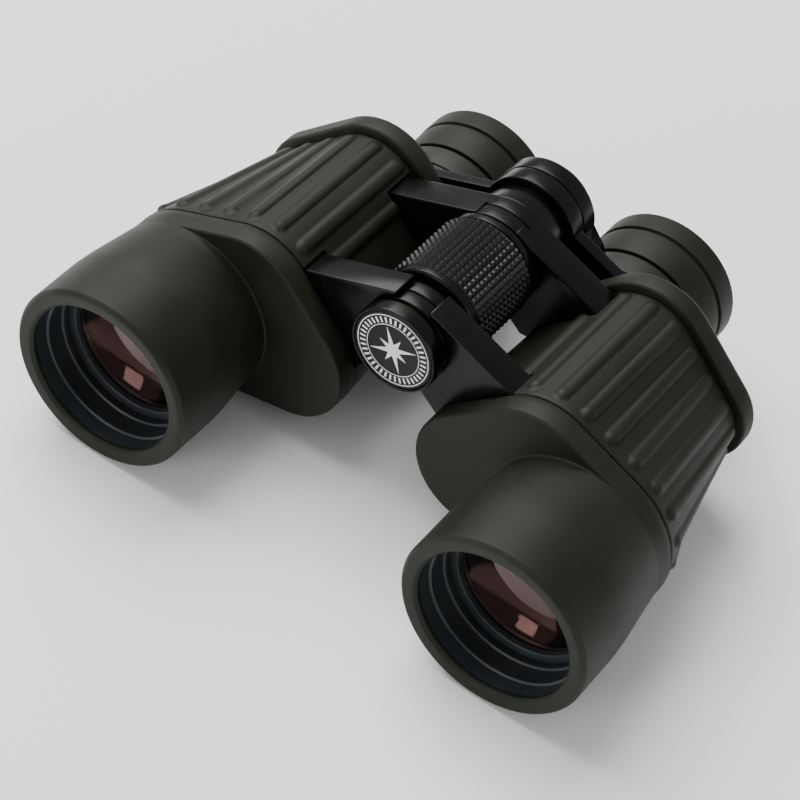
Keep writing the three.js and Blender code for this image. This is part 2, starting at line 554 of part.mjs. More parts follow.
// Cell with the field and eye lenses; it slides inside the guide tube.
const EYE_LENS_RADIUS = CELL_RADIUS - CELL_WALL - GAP;
const CELL_FRONT = BODY_REAR + 2.5;
const lensCell = () => turned([
  [CELL_RADIUS - CELL_WALL, CELL_FRONT], [CELL_RADIUS, CELL_FRONT], [CELL_RADIUS, CELL_FLANGE[0]],
  [SLEEVE_RADIUS - GAP, CELL_FLANGE[0]], [SLEEVE_RADIUS - GAP, CELL_FLANGE[1]],
  [EYE_LENS_RADIUS - 1, CELL_FLANGE[1]], [EYE_LENS_RADIUS - 1, CELL_FLANGE[0]],
  [CELL_RADIUS - CELL_WALL, CELL_FLANGE[0]],
], COARSE);
const fieldLens = () => lens(EYE_LENS_RADIUS, CELL_FRONT + 1.5, CELL_FRONT + 5, [0, 1.2], COARSE);
const eyeLens = () =>
  lens(EYE_LENS_RADIUS, CELL_FLANGE[0] - 4.5, CELL_FLANGE[0] - 3 * GAP, [1.4, 0.5], COARSE);

// ---- Centre line ---------------------------------------------------------------------------------
function axle() {
  const body = tube(AXLE_RADIUS, AXLE_BORE, KNOB_REAR - 2.2, REAR_ARM[1] + 3, COARSE);
  const length = FOCUS_TRAVEL + 2 * (PIN_RADIUS + GAP);
  const slot = new THREE.BoxGeometry(4 * AXLE_RADIUS, length, 2 * (PIN_RADIUS + GAP));
  return cut(body, solid(slot.translate(0, SPINDLE_PIN_Y - PIN_RADIUS - GAP + length / 2, 0)));
}

const knob = () => turned([
  [0, KNOB_FRONT + BADGE_DEPTH + GAP], [BADGE_RADIUS + GAP, KNOB_FRONT + BADGE_DEPTH + GAP],
  [BADGE_RADIUS + GAP, KNOB_FRONT], [KNOB_RADIUS - 0.3, KNOB_FRONT], [KNOB_RADIUS, KNOB_FRONT + 0.5],
  [KNOB_RADIUS, KNOB_REAR - 0.5], [KNOB_RADIUS - 0.5, KNOB_REAR], [AXLE_RADIUS + GAP, KNOB_REAR],
  [AXLE_RADIUS + GAP, KNOB_REAR - 2.5], [0, KNOB_REAR - 2.5],
]);
const badge = () => rod(BADGE_RADIUS, KNOB_FRONT + 0.2, KNOB_FRONT + BADGE_DEPTH);
const washer = () =>
  tube(KNOB_RADIUS - WASHER_INSET, AXLE_RADIUS + GAP, KNOB_REAR + GAP, FRONT_ARM[0] - GAP);

// Tapered collar that fills the hinge line from the rear knuckle to the focusing bridge.
const collar = () => turned([
  [AXLE_RADIUS + GAP, REAR_ARM[1] + GAP], [KNUCKLE_RADIUS - COLLAR_STEP, REAR_ARM[1] + GAP],
  [KNUCKLE_RADIUS - COLLAR_STEP - COLLAR_TAPER, BRIDGE_FRONT - GAP], [AXLE_RADIUS + GAP, BRIDGE_FRONT - GAP],
]);

// Wheel body: two plain rims, a core between them, and a chamber where the drive pin travels.
function focusWheel() {
  const core = WHEEL_RADIUS - GRIP_THICKNESS - GAP;
  const bore = AXLE_RADIUS + GAP;
  const chamber = bore + 2;
  const [y0, y1] = WHEEL;
  return turned([
    [bore, y0], [WHEEL_RADIUS - 0.8, y0], [WHEEL_RADIUS - 0.2, y0 + 0.6],
    [WHEEL_RADIUS - 0.2, y0 + WHEEL_RIM],
    [core, y0 + WHEEL_RIM], [core, y1 - WHEEL_RIM], [WHEEL_RADIUS - 0.2, y1 - WHEEL_RIM],
    [WHEEL_RADIUS - 0.2, y1 - 0.6], [WHEEL_RADIUS - 0.8, y1], [bore, y1], [bore, y1 - 4],
    [chamber, y1 - 6], [chamber, y0 + 6], [bore, y0 + 4],
  ]);
}
const wheelGrip = () => tube(WHEEL_RADIUS, WHEEL_RADIUS - GRIP_THICKNESS,
  WHEEL[0] + WHEEL_RIM + GAP, WHEEL[1] - WHEEL_RIM - GAP);

// Rod that carries the bridge, with a cross hole for the drive pin.
function spindle() {
  const shaft = rod(SPINDLE_RADIUS, SPINDLE_PIN_Y - 5, BRIDGE_HUB_REAR + GAP, COARSE);
  const hole = new THREE.BoxGeometry(4 * SPINDLE_RADIUS, 2 * (PIN_RADIUS + GAP), 2 * (PIN_RADIUS + GAP));
  return cut(shaft, solid(hole.translate(0, SPINDLE_PIN_Y, 0)));
}
const drivePin = () => solid(new THREE.CylinderGeometry(PIN_RADIUS, PIN_RADIUS, 2 * (AXLE_RADIUS + 1.8), 12)
  .rotateZ(Math.PI / 2).translate(0, SPINDLE_PIN_Y, 0));
const hubCap = () => turned([
  [0, BRIDGE_HUB_REAR + 2 * GAP], [HUB_CAP_RADIUS, BRIDGE_HUB_REAR + 2 * GAP],
  [HUB_CAP_RADIUS, BRIDGE_HUB_REAR + HUB_CAP_THICKNESS - 0.8],
  [HUB_CAP_RADIUS - 0.8, BRIDGE_HUB_REAR + HUB_CAP_THICKNESS],
  [0, BRIDGE_HUB_REAR + HUB_CAP_THICKNESS],
]);

// ---- Assembly ------------------------------------------------------------------------------------
const binoculars = new THREE.Group();
binoculars.position.set(0, -EYECUP_REAR / 2, SUPPORT_DROP);

function add(parent, name, body, material) {
  const mesh = new THREE.Mesh(geometryOf(body), material);
  mesh.name = name;
  parent.add(mesh);
  return mesh;
}

function group(x, y, z, parent = binoculars) {
  const node = new THREE.Group();
  node.position.set(x, y, z);
  parent.add(node);
  return node;
}

function addHalf(hand, side) {
  add(binoculars, `${hand}_prism_housing`, prismHousing(side), PAINT);
  add(binoculars, `${hand}_armour`, armour(side), RUBBER);
  add(binoculars, `${hand}_front_cover`, frontCover(side), RUBBER);
  add(binoculars, `${hand}_rear_cover`, rearCover(side), RUBBER);
  add(binoculars, `${hand}_prism_shelf`, prismShelf(side), BLACK_METAL);
  screwPlaces.forEach(([x, z], i) =>
    add(group(side * x, 0, z), `${hand}_cover_screw_${i + 1}`, coverScrew(), BLACK_METAL));

  const objective = group(side * OBJECTIVE_HALF, 0, -OPTICAL_DROP);
  add(objective, `${hand}_objective_tube`, objectiveTube(), BLACK_METAL);
  add(objective, `${hand}_objective_lens`,
    lens(LENS_RADIUS, LENS_FRONT, LENS_FRONT + LENS_EDGE, LENS_SAGS), GLASS);
  add(objective, `${hand}_lens_ring`,
    tube(LIP_RADIUS - 0.1, LENS_CLEAR_RADIUS, LENS_FRONT - GAP - LENS_RING_DEPTH, LENS_FRONT - GAP),
    BLACK_METAL);

  // The light's sideways shift is split into two equal, square steps by the two prisms.
  const shift = PRISM_STEP * Math.SQRT2;
  const rear = group(side * (PRISM_MID_X + PRISM_STEP / 2), SHELF_MID + SHELF_THICKNESS / 2 + GAP,
    -OPTICAL_DROP + PRISM_STEP / 2);
  rear.rotation.y = side * (Math.PI / 4);
  add(rear, `${hand}_rear_prism`, porroPrism(shift), GLASS);
  add(rear, `${hand}_rear_prism_strap`, prismStrap(shift), STEEL);
  const front = group(side * (PRISM_MID_X - PRISM_STEP / 2), SHELF_MID - SHELF_THICKNESS / 2 - GAP,
    -OPTICAL_DROP + PRISM_STEP / 2);
  front.rotation.set(Math.PI, side * (-Math.PI / 4), 0, 'YXZ');
  add(front, `${hand}_front_prism`, porroPrism(shift), GLASS);
  add(front, `${hand}_front_prism_strap`, prismStrap(shift), STEEL);
}

function addOcular(hand, side) {
  add(binoculars, `${hand}_bridge_arm`, bridgeArm(side), PAINT);
  const eyepiece = group(side * EYE_HALF, 0, -OPTICAL_DROP);
  add(eyepiece, `${hand}_guide_tube`, guideTube(), BLACK_METAL);
  add(eyepiece, `${hand}_ocular_sleeve`, ocularSleeve(), BLACK_METAL);
  add(eyepiece, `${hand}_lens_cell`, lensCell(), BLACK_METAL);
  add(eyepiece, `${hand}_field_lens`, fieldLens(), GLASS);
  add(eyepiece, `${hand}_eye_lens`, eyeLens(), GLASS);
  add(eyepiece, side > 0 ? 'dioptre_ring' : 'left_ocular_ring', dioptreRing(), PLASTIC);
  add(eyepiece, `${hand}_eyecup`, eyecup(), RUBBER);
}

[['left', -1], ['right', 1]].forEach(([hand, side]) => {
  addHalf(hand, side);
  addOcular(hand, side);
});
add(binoculars, 'hinge_axle', axle(), STEEL);
add(binoculars, 'end_knob', knob(), PAINT);
add(binoculars, 'badge_disc', badge(), BADGE);
add(binoculars, 'brass_washer', washer(), BRASS);
add(binoculars, 'axle_collar', collar(), PAINT);
add(binoculars, 'focus_wheel', focusWheel(), PAINT);
add(binoculars, 'wheel_grip', wheelGrip(), PLASTIC);
add(binoculars, 'focus_spindle', spindle(), STEEL);
add(binoculars, 'drive_pin', drivePin(), STEEL);
add(binoculars, 'hub_cap', hubCap(), PAINT);

export default binoculars;
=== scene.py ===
"""Porro-prism binoculars in rubber armour: the visible pieces, their finishes and a studio."""
import logging
import math
from dataclasses import dataclass, field
from enum import Enum
from typing import Any, Iterable, Sequence

import bmesh
import bpy
import numpy as np
from mathutils import Matrix, Vector


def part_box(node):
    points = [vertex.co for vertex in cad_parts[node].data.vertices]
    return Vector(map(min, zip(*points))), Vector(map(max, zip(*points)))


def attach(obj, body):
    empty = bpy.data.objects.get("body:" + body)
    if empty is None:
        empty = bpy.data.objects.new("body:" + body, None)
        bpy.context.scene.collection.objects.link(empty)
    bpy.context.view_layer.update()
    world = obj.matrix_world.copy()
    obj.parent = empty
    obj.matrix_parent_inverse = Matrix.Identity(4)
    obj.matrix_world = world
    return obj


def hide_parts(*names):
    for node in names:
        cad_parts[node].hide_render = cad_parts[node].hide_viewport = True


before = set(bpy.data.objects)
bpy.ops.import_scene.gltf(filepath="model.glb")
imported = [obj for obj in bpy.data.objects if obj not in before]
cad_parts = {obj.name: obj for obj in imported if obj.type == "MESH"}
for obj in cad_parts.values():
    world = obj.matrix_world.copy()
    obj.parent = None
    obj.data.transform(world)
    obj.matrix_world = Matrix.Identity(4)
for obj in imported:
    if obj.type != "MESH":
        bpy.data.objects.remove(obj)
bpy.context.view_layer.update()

LOG = logging.getLogger("binoculars")
MM = 0.001
TAU = 2.0 * math.pi
QUARTER = 0.5 * math.pi
Pair = tuple[float, float]
Triple = tuple[float, float, float]
Ring = np.ndarray
HINGE: Pair = (0.0, 0.0)  # the hinge axis, as X and Z of the drawing frame
AXLE_BORE = 7.8  # clear radius of what sits on the hinge axle
PLAY = 0.3  # gap between parts that turn on each other
PAST = 1.0  # how far a cut reaches beyond what it cuts


class Side(Enum):
    """The two halves, with the sign of their X."""

    LEFT = -1
    RIGHT = 1

    def part(self, name: str) -> str:
        """Name of one of this half's parts or bodies."""
        return f"{self.name.lower()}_{name}"

    def place(self, right: Pair) -> Pair:
        """Puts a place of the right half, given as X and Z, on this half."""
        return (self.value * right[0], right[1])


# ---- Places read from the frame -------------------------------------------------------------------
@dataclass(frozen=True)
class Span:
    """A piece's reach along the optical axis, in millimetres behind the objective rims."""

    front: float
    rear: float

    @property
    def middle(self) -> float:
        """Half-way along the span."""
        return 0.5 * (self.front + self.rear)

    def halves(self, front_first: bool) -> tuple["Span", "Span"]:
        """Splits the span with play between its halves; the own half comes first."""
        early = Span(self.front, self.middle - 0.5 * PLAY)
        late = Span(self.middle + 0.5 * PLAY, self.rear)
        return (early, late) if front_first else (late, early)

    def grown(self, front: float, rear: float) -> "Span":
        """The span with a little more at each end."""
        return Span(self.front - front, self.rear + rear)


class Places:
    """Axes and stations of the mechanism, taken from the boxes of the frame's parts.

    Shapes are drawn in millimetres in a drawing frame: X across, Y back from the objective rims
    and Z up from the hinge axis.
    """

    def __init__(self) -> None:
        """Reads the boxes once."""
        low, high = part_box("hinge_axle")
        self.hinge_height: float = 0.5 * (low.z + high.z)
        self.front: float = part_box("right_front_cover")[0].y
        self.objective: Pair = self.axis("right_objective_tube")
        self.eyepiece: Pair = self.axis("right_eyecup")

    def axis(self, node: str) -> Pair:
        """Finds X and Z of the axis along Y of a round part."""
        low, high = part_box(node)
        return (0.5 * (low.x + high.x) / MM, (0.5 * (low.z + high.z) - self.hinge_height) / MM)

    def span(self, node: str) -> Span:
        """Finds a part's first and last station along Y."""
        low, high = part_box(node)
        return Span((low.y - self.front) / MM, (high.y - self.front) / MM)

    def to_world(self, points: np.ndarray) -> np.ndarray:
        """Turns drawing-frame millimetres into metres of the shared frame."""
        return points * MM + np.array([0.0, self.front, self.hinge_height])


PLACES = Places()


# ---- Finishes -------------------------------------------------------------------------------------
def linear(code: str) -> tuple[float, float, float, float]:
    """Turns an sRGB hex colour, "#rrggbb", into linear RGBA."""
    parts = [int(code[i : i + 2], 16) / 255.0 for i in (1, 3, 5)]
    made = [p / 12.92 if p <= 0.04045 else ((p + 0.055) / 1.055) ** 2.4 for p in parts]
    return (made[0], made[1], made[2], 1.0)


def add_node(tree: bpy.types.NodeTree, kind: str, settings: dict[str, Any] | None = None,
             **inputs: Any) -> bpy.types.Node:
    """Adds a node with its settings and links.

    Args:
        tree: The shader or geometry tree.
        kind: The node's type name.
        settings: Attributes of the node itself.
        **inputs: Values or sockets by input name, with spaces as underscores, or by place as i0, i1.

    Returns:
        The new node.
    """
    made = tree.nodes.new(kind)
    for name, value in (settings or {}).items():
        setattr(made, name, value)
    for name, value in inputs.items():
        socket = made.inputs[int(name[1:])] if name[1:].isdigit() else made.inputs[name.replace("_", " ")]
        if isinstance(value, bpy.types.NodeSocket):
            tree.links.new(value, socket)
        else:
            socket.default_value = value
    return made


def grain_scale(size_mm: float) -> float:
    """Gives the noise scale whose features are about a size in millimetres across."""
    return 1.0 / (size_mm * MM)


class Surface:
    """What every finish shares: a material that is made once."""

    name: str
    slot: str

    def build(self) -> bpy.types.Material:
        """Makes the material, or gives the one made before."""
        found = bpy.data.materials.get(self.name)
        if found:
            return found
        made = bpy.data.materials.new(self.name)
        made.use_nodes = True
        tree = made.node_tree
        place = add_node(tree, "ShaderNodeTexCoord").outputs["Object"]
        self.dress(tree, tree.nodes["Principled BSDF"], place)
        return made

    def dress(self, tree: bpy.types.NodeTree, shader: bpy.types.Node, place: bpy.types.NodeSocket) -> None:
        """Adds the surface's own nodes.

        Args:
            tree: The material's tree.
            shader: Its principled shader.
            place: The socket with the object coordinates.
        """
        raise NotImplementedError


@dataclass(frozen=True)
class Finish(Surface):
    """A dielectric or metal surface with a two-tone drift, uneven gloss and a fine grain."""

    name: str
    slot: str
    dark: str
    light: str
    roughness: Pair
    drift_mm: float = 14.0
    grain_mm: float = 0.5
    grain_depth_mm: float = 0.02
    metallic: float = 0.0
    specular: float = 0.5

    def dress(self, tree: bpy.types.NodeTree, shader: bpy.types.Node, place: bpy.types.NodeSocket) -> None:
        """Adds the drift of tone and gloss and the grain's bump."""
        drift = add_node(tree, "ShaderNodeTexNoise", Vector=place, Scale=grain_scale(self.drift_mm),
                         Detail=4.0, Roughness=0.6)
        grain = add_node(tree, "ShaderNodeTexNoise", Vector=place, Scale=grain_scale(self.grain_mm),
                         Detail=3.0, Roughness=0.55)
        both = add_node(tree, "ShaderNodeMath", {"operation": "MULTIPLY_ADD"}, i0=grain.outputs["Fac"],
                        i1=0.35, i2=drift.outputs["Fac"])
        tone = add_node(tree, "ShaderNodeMapRange", Value=both.outputs[0], From_Min=0.45, From_Max=0.9)
        mix = add_node(tree, "ShaderNodeMix", {"data_type": "RGBA"}, Factor=tone.outputs["Result"],
                       i6=linear(self.dark), i7=linear(self.light))
        gloss = add_node(tree, "ShaderNodeMapRange", Value=both.outputs[0], From_Min=0.4, From_Max=0.95,
                         To_Min=self.roughness[0], To_Max=self.roughness[1])
        bump = add_node(tree, "ShaderNodeBump", Height=grain.outputs["Fac"], Strength=0.6,
                        Distance=self.grain_depth_mm * MM)
        tree.links.new(mix.outputs[2], shader.inputs["Base Color"])
        tree.links.new(gloss.outputs["Result"], shader.inputs["Roughness"])
        tree.links.new(bump.outputs["Normal"], shader.inputs["Normal"])
        shader.inputs["Metallic"].default_value = self.metallic
        shader.inputs["Specular IOR Level"].default_value = self.specular


@dataclass(frozen=True)
class Glass(Surface):
    """Polished optical glass, with the tint that an anti-reflection coating gives its reflections."""

    name: str
    slot: str
    body: str
    reflection: str
    ior: float = 1.52
    roughness: float = 0.02

    def dress(self, tree: bpy.types.NodeTree, shader: bpy.types.Node, place: bpy.types.NodeSocket) -> None:
        """Adds a faint haze of dust and the glass itself."""
        dust = add_node(tree, "ShaderNodeTexNoise", Vector=place, Scale=grain_scale(6.0), Detail=5.0)
        haze = add_node(tree, "ShaderNodeMapRange", Value=dust.outputs["Fac"], From_Min=0.35, From_Max=0.8,
                        To_Min=self.roughness, To_Max=self.roughness + 0.05)
        tree.links.new(haze.outputs["Result"], shader.inputs["Roughness"])
        shader.inputs["Base Color"].default_value = linear(self.body)
        shader.inputs["Specular Tint"].default_value = linear(self.reflection)
        shader.inputs["IOR"].default_value = self.ior
        shader.inputs["Transmission Weight"].default_value = 1.0


# Moulded rubber with a fine spark-eroded grain: soft broad highlights, greenish dark grey.
ARMOUR_RUBBER = Finish("moulded_armour_rubber", "armour_rubber", "#14180f", "#1b2015", (0.46, 0.6),
                       grain_mm=0.45, grain_depth_mm=0.04, specular=0.2)
# Sprayed satin paint on cast alloy: a tight, even gloss over a slight orange peel.
SATIN_PAINT = Finish("satin_black_paint", "black_paint", "#040605", "#080a09", (0.2, 0.3),
                     grain_mm=0.6, grain_depth_mm=0.006, specular=0.2)
# Dyed anodising on turned aluminium: dull bluish black.
BLACK_ANODISED = Finish("black_anodised_aluminium", "black_anodised", "#1b2024", "#262c30", (0.36, 0.48),
                        grain_mm=0.3, grain_depth_mm=0.006)
# Glass-filled nylon moulding: near black with small glints.
GRIP_NYLON = Finish("moulded_black_nylon", "grip_plastic", "#070908", "#0d100f", (0.24, 0.36),
                    grain_mm=0.4, grain_depth_mm=0.01)
# Soft-touch moulding of the eyepiece rings: the armour's colour on hard plastic.
RING_GRIP = Finish("soft_touch_ring_moulding", "grip_plastic", "#14180f", "#1b2015", (0.4, 0.52),
                   grain_mm=0.4, grain_depth_mm=0.02, specular=0.3)
# Ground steel: grey, faintly uneven.
GROUND_STEEL = Finish("ground_steel", "bright_steel", "#8d9194", "#b4b8bb", (0.22, 0.34),
                      grain_mm=0.25, grain_depth_mm=0.004, metallic=1.0)
# Turned brass: warm yellow with a soft shine.
TURNED_BRASS = Finish("turned_brass", "brass", "#b08a3e", "#d8b56a", (0.16, 0.3), drift_mm=3.0,
                      grain_mm=0.3, grain_depth_mm=0.003, metallic=1.0)
# Screen-printed disc: black lacquer ground and white ink.
BADGE_LACQUER = Finish("badge_black_lacquer", "badge", "#080707", "#100e0d", (0.34, 0.44), specular=0.25)
BADGE_INK = Finish("badge_white_ink", "badge", "#d4d5d4", "#f2f2f0", (0.45, 0.6), grain_mm=0.8)
# Doublet glass with a rosy residual reflection; prism glass is plain.
LENS_GLASS = Glass("coated_objective_glass", "coated_glass", "#cfb3ae", "#d9b9b4", ior=1.68)
PRISM_GLASS = Glass("polished_prism_glass", "optical_glass", "#dfe6e4", "#9fb0b8", ior=1.57)


# ---- Meshes ---------------------------------------------------------------------------------------
def mesh_of(points: np.ndarray, faces: Iterable[Sequence[int]], name: str) -> bpy.types.Mesh:
    """Makes a welded mesh with outward faces from drawing-frame points.

    Args:
        points: Vertices, in millimetres of the drawing frame.
        faces: Vertex numbers of each face.
        name: Name of the mesh.

    Returns:
        The mesh, in metres of the shared frame.
    """
    made = bpy.data.meshes.new(name)
    made.from_pydata(PLACES.to_world(points).tolist(), [], [list(f) for f in faces])
    work = bmesh.new()
    work.from_mesh(made)
    bmesh.ops.remove_doubles(work, verts=work.verts, dist=1e-6)
    bmesh.ops.dissolve_degenerate(work, edges=work.edges, dist=1e-7)
    bmesh.ops.recalc_face_normals(work, faces=work.faces)
    work.to_mesh(made)
    work.free()
    return made


def rings_mesh(rings: Sequence[Ring], name: str, loop: bool = False, caps: bool = False) -> bpy.types.Mesh:
    """Skins rings of equal length into a mesh.

    Args:
        rings: Closed rings of drawing-frame points, each an (n, 3) array.
        name: Name of the mesh.
        loop: Whether the last ring joins the first.
        caps: Whether the first and last rings are closed by flat faces.

    Returns:
        The mesh.
    """
    count = len(rings[0])
    points = np.concatenate(rings)
    faces: list[list[int]] = []
    pairs = len(rings) if loop else len(rings) - 1
    for r in range(pairs):
        a, b = r * count, ((r + 1) % len(rings)) * count
        for k in range(count):
            n = (k + 1) % count
            faces.append([a + k, a + n, b + n, b + k])
    if caps:
        faces.append(list(range(count))[::-1])
        faces.append([(len(rings) - 1) * count + k for k in range(count)])
    return mesh_of(points, faces, name)


def turned(profile: Sequence[Pair], axis: Pair, name: str, segments: int = 128) -> bpy.types.Mesh:
    """Turns a profile about an axis along Y.

    Args:
        profile: Radius and station of each point; it closes on itself unless both ends have radius 0.
        axis: X and Z of the axis.
        name: Name of the mesh.
        segments: Facets round the axis.

    Returns:
        The mesh.
    """
    turn = np.linspace(0.0, TAU, segments, endpoint=False)
    rings = [np.stack([axis[0] + r * np.cos(turn), np.full(segments, y), axis[1] + r * np.sin(turn)], 1)
             for r, y in profile]
    open_ended = profile[0][0] == 0 and profile[-1][0] == 0
    return rings_mesh(rings, name, loop=not open_ended)


def rounded(corners: Sequence[Triple], steps: int = 5) -> list[Pair]:
    """Rounds the corners of a closed profile.

    Args:
        corners: Radius, station and rounding radius of each corner.
        steps: Points on each rounded corner.

    Returns:
        The rounded profile.
    """
    made: list[Pair] = []
    count = len(corners)
    for i, (x, y, r) in enumerate(corners):
        here = Vector((x, y))
        back = Vector(corners[i - 1][:2]) - here
        onward = Vector(corners[(i + 1) % count][:2]) - here
        if r <= 0 or back.length < 1e-6 or onward.length < 1e-6:
            made.append((x, y))
            continue
        half = 0.5 * back.angle(onward)
        reach = min(r / math.tan(half), 0.48 * back.length, 0.48 * onward.length)
        start, end = here + back.normalized() * reach, here + onward.normalized() * reach
        for s in range(steps + 1):
            t = s / steps
            p = start * (1 - t) ** 2 + here * (2 * t * (1 - t)) + end * t**2
            made.append((p.x, p.y))
    return made


def prism(outline: Sequence[Pair], y0: float, y1: float, name: str) -> bpy.types.Mesh:
    """Extrudes an outline, seen along Y, between two stations."""
    flat = np.array(outline)
    rings = [np.stack([flat[:, 0], np.full(len(flat), y), flat[:, 1]], 1) for y in (y0, y1)]
    return rings_mesh(rings, name, caps=True)


def disc(radius: float, y0: float, y1: float, axis: Pair = HINGE, segments: int = 96) -> bpy.types.Mesh:
    """Makes a plain cylinder along Y."""
    return turned([(0, y0), (radius, y0), (radius, y1), (0, y1)], axis, "cylinder", segments)


def link(mesh: bpy.types.Mesh, name: str) -> bpy.types.Object:
    """Puts a mesh in the scene as an object at the origin."""
    made = bpy.data.objects.new(name, mesh)
    bpy.context.scene.collection.objects.link(made)
    return made


def baked(obj: bpy.types.Object) -> bpy.types.Object:
    """Replaces an object's mesh by what its modifiers make of it, and removes them."""
    graph = bpy.context.evaluated_depsgraph_get()
    graph.update()
    made = bpy.data.meshes.new_from_object(obj.evaluated_get(graph))
    obj.modifiers.clear()
    obj.data = made
    return obj


def combined(base: bpy.types.Mesh, steps: Sequence[tuple[str, bpy.types.Mesh]]) -> bpy.types.Mesh:
    """Joins solids to a mesh and cuts others from it, in order.

    Args:
        base: The solid to start from.
        steps: "UNION" or "DIFFERENCE", and the other solid.

    Returns:
        The resulting mesh.
    """
    work = link(base, "work")
    others = []
    for operation, mesh in steps:
        other = link(mesh, "tool")
        other.hide_render = True
        others.append(other)
        tool = work.modifiers.new("step", "BOOLEAN")
        tool.operation = operation
        tool.solver = "MANIFOLD"
        tool.object = other
    baked(work)
    result = work.data
    for obj in [work, *others]:
        bpy.data.objects.remove(obj)
    return result


def soften(obj: bpy.types.Object, radius_mm: float, segments: int, angle: float) -> None:
    """Rounds an object's sharp edges.

    Args:
        obj: The object.
        radius_mm: Width of the rounding.
        segments: Steps across it.
        angle: Smallest angle in degrees that counts as an edge.
    """
    tool = obj.modifiers.new("edges", "BEVEL")
    tool.width = radius_mm * MM
    tool.segments = segments
    tool.limit_method = "ANGLE"
    tool.angle_limit = math.radians(angle)
    baked(obj)


def soft_prism(outline: Sequence[Pair], span: Span, edge: float, angle: float) -> bpy.types.Mesh:
    """Extrudes an outline over a span and rounds the edges sharper than an angle."""
    made = link(prism(outline, span.front, span.rear, "slab"), "slab")
    soften(made, edge, 3, angle)
    mesh = made.data
    bpy.data.objects.remove(made)
    return mesh


def knuckle(radius: float, span: Span, edge: float) -> bpy.types.Mesh:
    """Makes a solid round boss about the hinge axis with rounded edges."""
    outline = [(0, span.front, 0), (radius, span.front, edge), (radius, span.rear, edge), (0, span.rear, 0)]
    return turned(rounded(outline, 4), HINGE, "boss")


def band(inner: float, outer: float, span: Span, inner_edge: float, outer_edge: float) -> list[Triple]:
    """Gives the profile of a plain ring as corners with their rounding."""
    return [(inner, span.front, inner_edge), (outer, span.front, outer_edge),
            (outer, span.rear, outer_edge), (inner, span.rear, inner_edge)]


def finished(obj: bpy.types.Object, finish: Surface, body: str, *nodes: str, sharp: float = 35.0) -> None:
    """Dresses a piece, shades it, hangs it on its body and hides the CAD parts that it stands for.

    Args:
        obj: The piece.
        finish: Its finish.
        body: The moving body that it rides on.
        *nodes: CAD parts that it stands for.
        sharp: Angle in degrees above which an edge stays crisp.
    """
    obj.data.materials.clear()
    obj.data.materials.append(finish.build())
    obj.data.polygons.foreach_set("use_smooth", [True] * len(obj.data.polygons))
    obj.data.set_sharp_from_angle(angle=math.radians(sharp))
    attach(obj, body)
    if nodes:
        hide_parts(*nodes)
    LOG.info("%s: %d faces on %s", obj.name, len(obj.data.polygons), body)


def turn_piece(name: str, corners: Sequence[Triple], axis: Pair, finish: Surface, body: str, *nodes: str,
               steps: int = 3, sharp: float = 35.0) -> None:
    """Makes and dresses a piece turned about an axis.

    Args:
        name: The piece's name.
        corners: Radius, station and rounding radius of each corner of its profile.
        axis: X and Z of the axis.
        finish: Its finish.
        body: The moving body that it rides on.
        *nodes: CAD parts that it stands for.
        steps: Points on each rounded corner.
        sharp: Angle in degrees above which an edge stays crisp.
    """
    finished(link(turned(rounded(corners, steps), axis, name), name), finish, body, *nodes, sharp=sharp)


